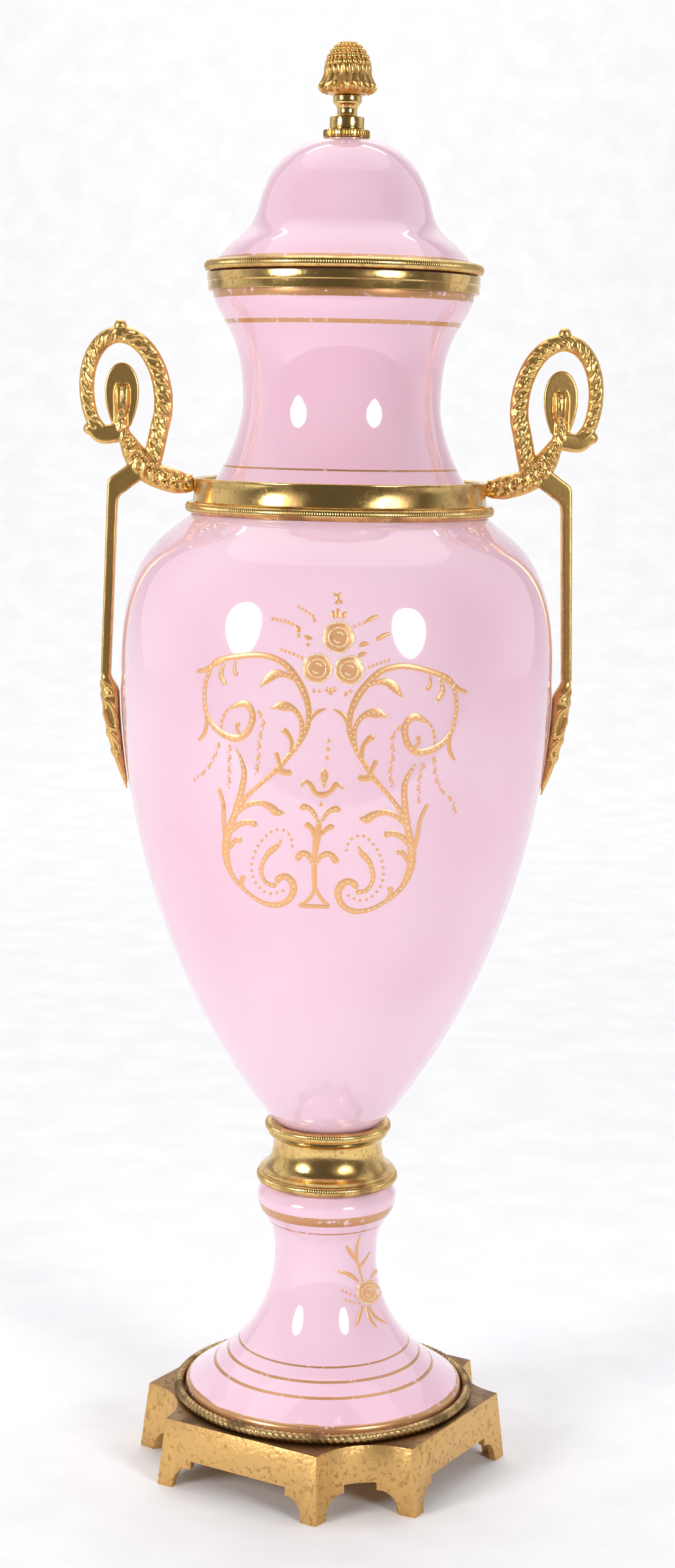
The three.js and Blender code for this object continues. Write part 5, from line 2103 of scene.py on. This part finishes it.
@dataclass
class Gilder:
    """Lays raised gilding of one tone on a turned piece of porcelain."""

    camera: PhotoCamera
    outline: Profile
    turn: float = 0.0
    shift: Pixel = (0.0, 0.0)
    height: float = 0.14
    pixel: float = 0.205
    brush_step: float = 2.4
    finest: float = 1.2
    tries: int = 40
    nudge: float = 1.5
    vertices: list[Vector] = field(default_factory=list)
    faces: Faces = field(default_factory=list)

    def surface(self, x: float, y: float) -> Vector:
        """Casts a place in the photograph onto the porcelain, or onto its edge where it would miss."""
        x, y = x + self.shift[0], y + self.shift[1]
        inward = self.nudge if x < PHOTO_WIDTH / 2 else -self.nudge
        for step in range(self.tries):
            place = self.camera.on_turned(self.outline, x + inward * step, y)
            if place is not None:
                return Matrix.Rotation(math.radians(self.turn), 3, "Z") @ place
        raise ValueError(f"no porcelain at {x}, {y}")

    def outward(self, place: Vector) -> Vector:
        """Gives the porcelain's outward direction at a place."""
        gap = 0.6
        slope = (radius_at(self.outline, place.z + gap) - radius_at(self.outline, place.z - gap)) / (2 * gap)
        return Vector((place.x, place.y, -slope * math.hypot(place.x, place.y))).normalized()

    def stroke(self, marks: Sequence[BrushMark]) -> None:
        """Lays a ribbon as wide as the brush was at each place, with rounded ends.

        Args:
            marks: Places in the photograph, each with the brush's width.
        """
        line = even_path(marks, self.brush_step)
        places = [self.surface(p.x, p.y) for p in line]
        count = len(places)
        run = [0.0]
        for a, b in zip(line, line[1:]):
            run.append(run[-1] + math.hypot(b.x - a.x, b.y - a.y))
        first = len(self.vertices)
        for i, place in enumerate(places):
            along = (places[min(i + 1, count - 1)] - places[max(i - 1, 0)]).normalized()
            out = self.outward(place)
            side = along.cross(out).normalized()
            half = max(line[i].z, self.finest) / 2
            left = min(run[i], run[-1] - run[i]) / half
            half *= self.pixel * math.sqrt(max(1 - max(1 - left, 0.0) ** 2, 0.04))
            low_edge, crown, back = (-0.05, self.height, -0.12)
            brow = crown * 0.8
            section = ((-1, low_edge), (-0.75, brow), (0, crown), (0.75, brow), (1, low_edge), (0, back))
            for across, rise in section:
                self.vertices.append(place + side * (across * half) + out * rise)
        sides = 6
        last = first + sides * (count - 1)
        self.faces += skin_faces(count - 1, sides, first)
        self.faces += [tuple(range(first, first + sides)), tuple(range(last, last + sides))]

    def dot(self, x: float, y: float, size: float) -> None:
        """Lays a round dot.

        Args:
            x: Pixel across.
            y: Pixel down.
            size: Radius in pixels.
        """
        place = self.surface(x, y)
        out = self.outward(place)
        side = out.cross(Vector((0, 0, 1))).normalized()
        up = side.cross(out)
        first = len(self.vertices)
        radius = size * self.pixel
        for share, rise in ((1.0, -0.06), (0.72, self.height * 1.1)):
            for k in range(8):
                angle = math.pi * k / 4
                at = side * math.cos(angle) + up * math.sin(angle)
                self.vertices.append(place + at * (radius * share) + out * rise)
        self.vertices += [place + out * (self.height * 1.7), place - out * 0.1]
        self.close(first, 2, 8)

    def close(self, first: int, rings: int, sides: int) -> None:
        """Skins rings of points whose two middle points follow them.

        Args:
            first: Index of the first point.
            rings: How many rings.
            sides: Points in each ring.
        """
        self.faces += skin_faces(rings - 1, sides, first)
        top = first + rings * sides
        for k in range(sides):
            j = (k + 1) % sides
            self.faces += [(top - sides + k, top - sides + j, top), (first + j, first + k, top + 1)]

    def dots(self, places: Sequence[Pixel], spacing: float, size: float) -> None:
        """Lays a row of dots."""
        for place in even_path(places, spacing):
            self.dot(place.x, place.y, size)

    def garland(self, places: Sequence[Pixel]) -> None:
        """Lays a hanging chain of uneven leaflets."""
        for i, place in enumerate(even_path(places, 5.0)):
            sway = 1.8 * math.sin(2.3 * i)
            size = 2.6 + 1.1 * math.sin(1.7 * i + 0.6)
            self.dot(place.x + sway, place.y, size)

    def disc(self, x: float, y: float, size: float, lobes: int = 0) -> None:
        """Lays a broad round patch that follows the porcelain.

        Args:
            x: Pixel across.
            y: Pixel down.
            size: Radius in pixels.
            lobes: How many petals its edge has.
        """
        steps = 40
        first = len(self.vertices)
        rings = ((1.0, -0.05), (0.95, self.height), (0.5, self.height))
        for share, rise in rings:
            for k in range(steps):
                angle = 2 * math.pi * k / steps
                r = size * share * (1 + (0.06 * math.cos(lobes * angle) if lobes else 0))
                place = self.surface(x + r * math.cos(angle), y + r * math.sin(angle))
                self.vertices.append(place + self.outward(place) * rise)
        middle = self.surface(x, y)
        out = self.outward(middle)
        self.vertices += [middle + out * self.height, middle - out * 0.3]
        self.close(first, len(rings), steps)

    def rose_lines(self, x: float, y: float, size: float) -> None:
        """Draws a rose's petals and heart in fine lines.

        Args:
            x: Pixel across.
            y: Pixel down.
            size: Radius in pixels.
        """
        for share, petals, width, start in PETAL_RINGS:
            for k in range(petals):
                middle = start + 2 * math.pi * k / petals
                marks = []
                for i in range(7):
                    aside = (i / 3 - 1) * math.pi / petals * (0.98 if petals > 2 else 0.5)
                    r = size * share * (0.97 + 0.07 * math.cos(aside * petals / 2))
                    angle = middle + aside
                    marks.append((x + r * math.cos(angle), y + r * math.sin(angle), size * width))
                self.stroke(marks)

    def made(self, name: str) -> bpy.types.Object:
        """Turns what was laid into an object.

        Args:
            name: The object's name.

        Returns:
            The gilding.
        """
        return mesh_object(name, self.vertices, self.faces, 70.0)


def across_axis(place: Sequence[float]) -> tuple[float, ...]:
    """Mirrors a place in the photograph across the motif's leaning middle line, and keeps its width."""
    foot, head = Vector(MOTIF_FOOT), Vector(MOTIF_HEAD)
    line = (head - foot).normalized()
    away = Vector(place[:2]) - foot
    other = foot + 2 * line * away.dot(line) - away
    return (other.x, other.y, *place[2:])


@dataclass
class Gilding:
    """The painted ornament: scrollwork with roses in front, and sprays on the foot and the back."""

    camera: PhotoCamera
    porcelain: Porcelain
    # Raised heights of the paler gilding, which is painted highlight, and of the darker gilding, which is
    # painted shade.
    light_height: float = 0.24
    dark_height: float = 0.1
    spray_light_height: float = 0.22
    pearl: float = 1.8

    def front(self, shop: Workshop) -> None:
        """Builds and sets the scrollwork on the body's front."""
        outline = self.porcelain.body_outline()
        gold = Gilder(self.camera, outline)
        # Painted highlight: the pearls and the roses' petal lines are laid in the paler gilding.
        light = Gilder(self.camera, outline, height=self.light_height)
        # Painted shade: the roses' hearts are laid in the darker gilding.
        dark = Gilder(self.camera, outline, height=self.dark_height)
        strokes = [*PALMETTE, *CROWN, *TOP_BUD, *LEAFLETS]
        for stroke in MIRRORED_STROKES:
            strokes += [stroke, Stroke(tuple(across_axis(mark) for mark in stroke.marks), stroke.pearls)]
        for stroke in strokes:
            gold.stroke(stroke.marks)
            if stroke.pearls:
                light.dots([mark[:2] for mark in stroke.marks], stroke.pearls, self.pearl)
        for row in (*SPRAY_ROWS, DOTTED_ARC):
            gold.dots(row.places, row.spacing, row.size)
        gold.dots([across_axis(place) for place in DOTTED_ARC.places], DOTTED_ARC.spacing, DOTTED_ARC.size)
        for places in LEFT_GARLANDS + RIGHT_GARLANDS:
            gold.garland(places)
        for x, y, size in ROSES:
            # Each rose: gold ground, heart in painted shade, petal lines in painted highlight.
            gold.disc(x, y, size * 0.97, 5)
            dark.disc(x + 0.06 * size, y - 0.05 * size, size * 0.56)
            light.rose_lines(x, y, size)
        finished(shop.dress(gold.made("front_gilding"), GILDING), Slot.GLAZE)
        finished(shop.dress(light.made("front_gilding_lights"), GILDING_HIGHLIGHT), Slot.GLAZE)
        finished(shop.dress(dark.made("rose_hearts"), GILDING_SHADE), Slot.GLAZE)

    def sprays(self, shop: Workshop) -> None:
        """Builds and sets the spray on the foot, and a like one on the body's back."""
        foot = self.porcelain.foot_outline()
        body = self.porcelain.body_outline()
        self.spray(shop, "foot_spray", foot, 0.0, SPRAY_SHIFT)
        self.spray(shop, "back_spray", body, 180.0, BACK_SHIFT)

    def spray(self, shop: Workshop, name: str, outline: Profile, turn: float, shift: Pixel) -> None:
        """Lays a single rose with leaves and dots.

        Args:
            shop: The workshop.
            name: Name of the gilding.
            outline: Outline of the porcelain that carries it.
            turn: Turn about the vase's axis in degrees.
            shift: How far it is moved in the photograph.
        """
        gold = Gilder(self.camera, outline, turn, shift)
        light = Gilder(self.camera, outline, turn, shift, height=self.spray_light_height)
        for stroke in SPRAY_STROKES:
            gold.stroke(stroke.marks)
        for row in SPRAY_DOTS:
            gold.dots(row.places, row.spacing, row.size)
        gold.disc(*SPRAY_ROSE, 5)
        # Painted highlight: the rose's petal lines are laid in the paler gilding.
        light.rose_lines(*SPRAY_ROSE)
        finished(shop.dress(gold.made(name), GILDING), Slot.GLAZE)
        finished(shop.dress(light.made(name + "_lights"), GILDING_HIGHLIGHT), Slot.GLAZE)

    def build(self, shop: Workshop) -> None:
        """Builds all the gilding."""
        self.front(shop)
        self.sprays(shop)


# Studio


@dataclass(frozen=True)
class Softbox:
    """A soft light: where it hangs, what it looks at, its size and its power."""

    name: str
    place: tuple[float, float, float]
    width: float
    height: float
    power: float
    aim: tuple[float, float, float] = (0.0, 0.0, 0.27)

    def build(self) -> None:
        """Makes the light."""
        data = bpy.data.lights.new(self.name, "AREA")
        data.shape = "ELLIPSE"
        data.size, data.size_y = self.width, self.height
        data.energy = self.power
        light = linked(self.name, data)
        light.location = self.place
        way = Vector(self.aim) - Vector(self.place)
        light.rotation_euler = way.to_track_quat("-Z", "Y").to_euler()


@dataclass
class Studio:
    """A pale floor that sweeps up into a white backdrop, under soft lights."""

    lights: tuple[Softbox, ...] = (
        Softbox("left softbox", (-1.05, -0.85, 0.62), 0.48, 0.58, 10.8),
        Softbox("right softbox", (0.78, -1.05, 0.62), 0.42, 0.54, 8.4),
        Softbox("top softbox", (0.0, 0.2, 2.3), 3.0, 2.2, 12.5),
        Softbox("backdrop light", (0.0, 1.4, 2.7), 2.6, 0.6, 50.0, (0.0, 2.7, 1.4)),
    )
    room_front: Colour = (0.12, 0.11, 0.1)
    room_back: Colour = (0.84, 0.845, 0.86)
    paper: Colour = (0.84, 0.845, 0.865)
    paper_pale: Colour = (0.88, 0.885, 0.9)
    width: float = 6.0
    front: float = -0.6
    back: float = 1.5
    bend: float = 1.2
    wall_height: float = 3.6

    def sweep(self) -> None:
        """Makes the floor and backdrop as one sheet."""
        section = [(self.front, 0.0), (0.0, 0.0), (self.back, 0.0)]
        for i in range(1, 17):
            angle = math.pi / 2 * i / 16
            section.append((self.back + self.bend * math.sin(angle), self.bend * (1 - math.cos(angle))))
        section.append((self.back + self.bend, self.wall_height))
        vertices = []
        for y, z in section:
            vertices += [(-self.width / 2 / MM, y / MM, z / MM), (self.width / 2 / MM, y / MM, z / MM)]
        faces: Faces = [(2 * i, 2 * i + 1, 2 * i + 3, 2 * i + 2) for i in range(len(section) - 1)]
        sheet = mesh_object("studio_sweep", vertices, faces, 80.0)
        for polygon in sheet.data.polygons:
            if polygon.normal.z < -0.01 or (abs(polygon.normal.z) < 0.01 and polygon.normal.y > 0):
                sheet.data.flip_normals()
                break
        material, shader, principled = new_material("studio paper")
        fleck = shader.ramp(shader.noise(shader.place(), 30.0), 0.3, 0.7)
        paper = shader.mix(fleck, rgba(self.paper), rgba(self.paper_pale))
        shader.fill(principled, {"Base Color": paper, "Roughness": 0.8, "Specular IOR Level": 0.1})
        sheet.data.materials.append(material)

    def air(self) -> None:
        """Sets the room's own light: dim in front, pale behind, and pale where the camera sees it."""
        world = bpy.data.worlds.new("room")
        world.use_nodes = True
        background = world.node_tree.nodes["Background"]
        shader = Nodes(world.node_tree)
        way = shader.node("ShaderNodeTexCoord").outputs["Generated"]
        behind = shader.ramp(shader.node("ShaderNodeSeparateXYZ", {0: way}).outputs["Y"], -0.4, 0.3)
        light = shader.mix(behind, rgba(self.room_front), rgba(self.room_back))
        seen = shader.node("ShaderNodeLightPath").outputs["Is Camera Ray"]
        light = shader.mix(seen, light, rgba(self.room_back))
        shader.fill(background, {"Color": light})
        bpy.context.scene.world = world

    def build(self) -> None:
        """Builds the studio."""
        self.sweep()
        self.air()
        for light in self.lights:
            light.build()
        bpy.context.scene.view_settings.view_transform = "Standard"
        LOG.info("studio: %d lights", len(self.lights))


def main() -> None:
    """Builds the whole scene in order."""
    logging.basicConfig(level=logging.INFO, format="%(name)s: %(message)s")
    camera = PhotoCamera()
    camera.build()
    shop = Workshop()
    porcelain = Porcelain()
    Plinth().build(shop)
    porcelain.build(shop)
    Mounts().build(shop, porcelain.body_outline())
    Finial().build(shop)
    Handle(body=porcelain.body_outline()).build(shop)
    Gilding(camera, porcelain).build(shop)
    Studio().build()


if __name__ == "__main__":
    main()
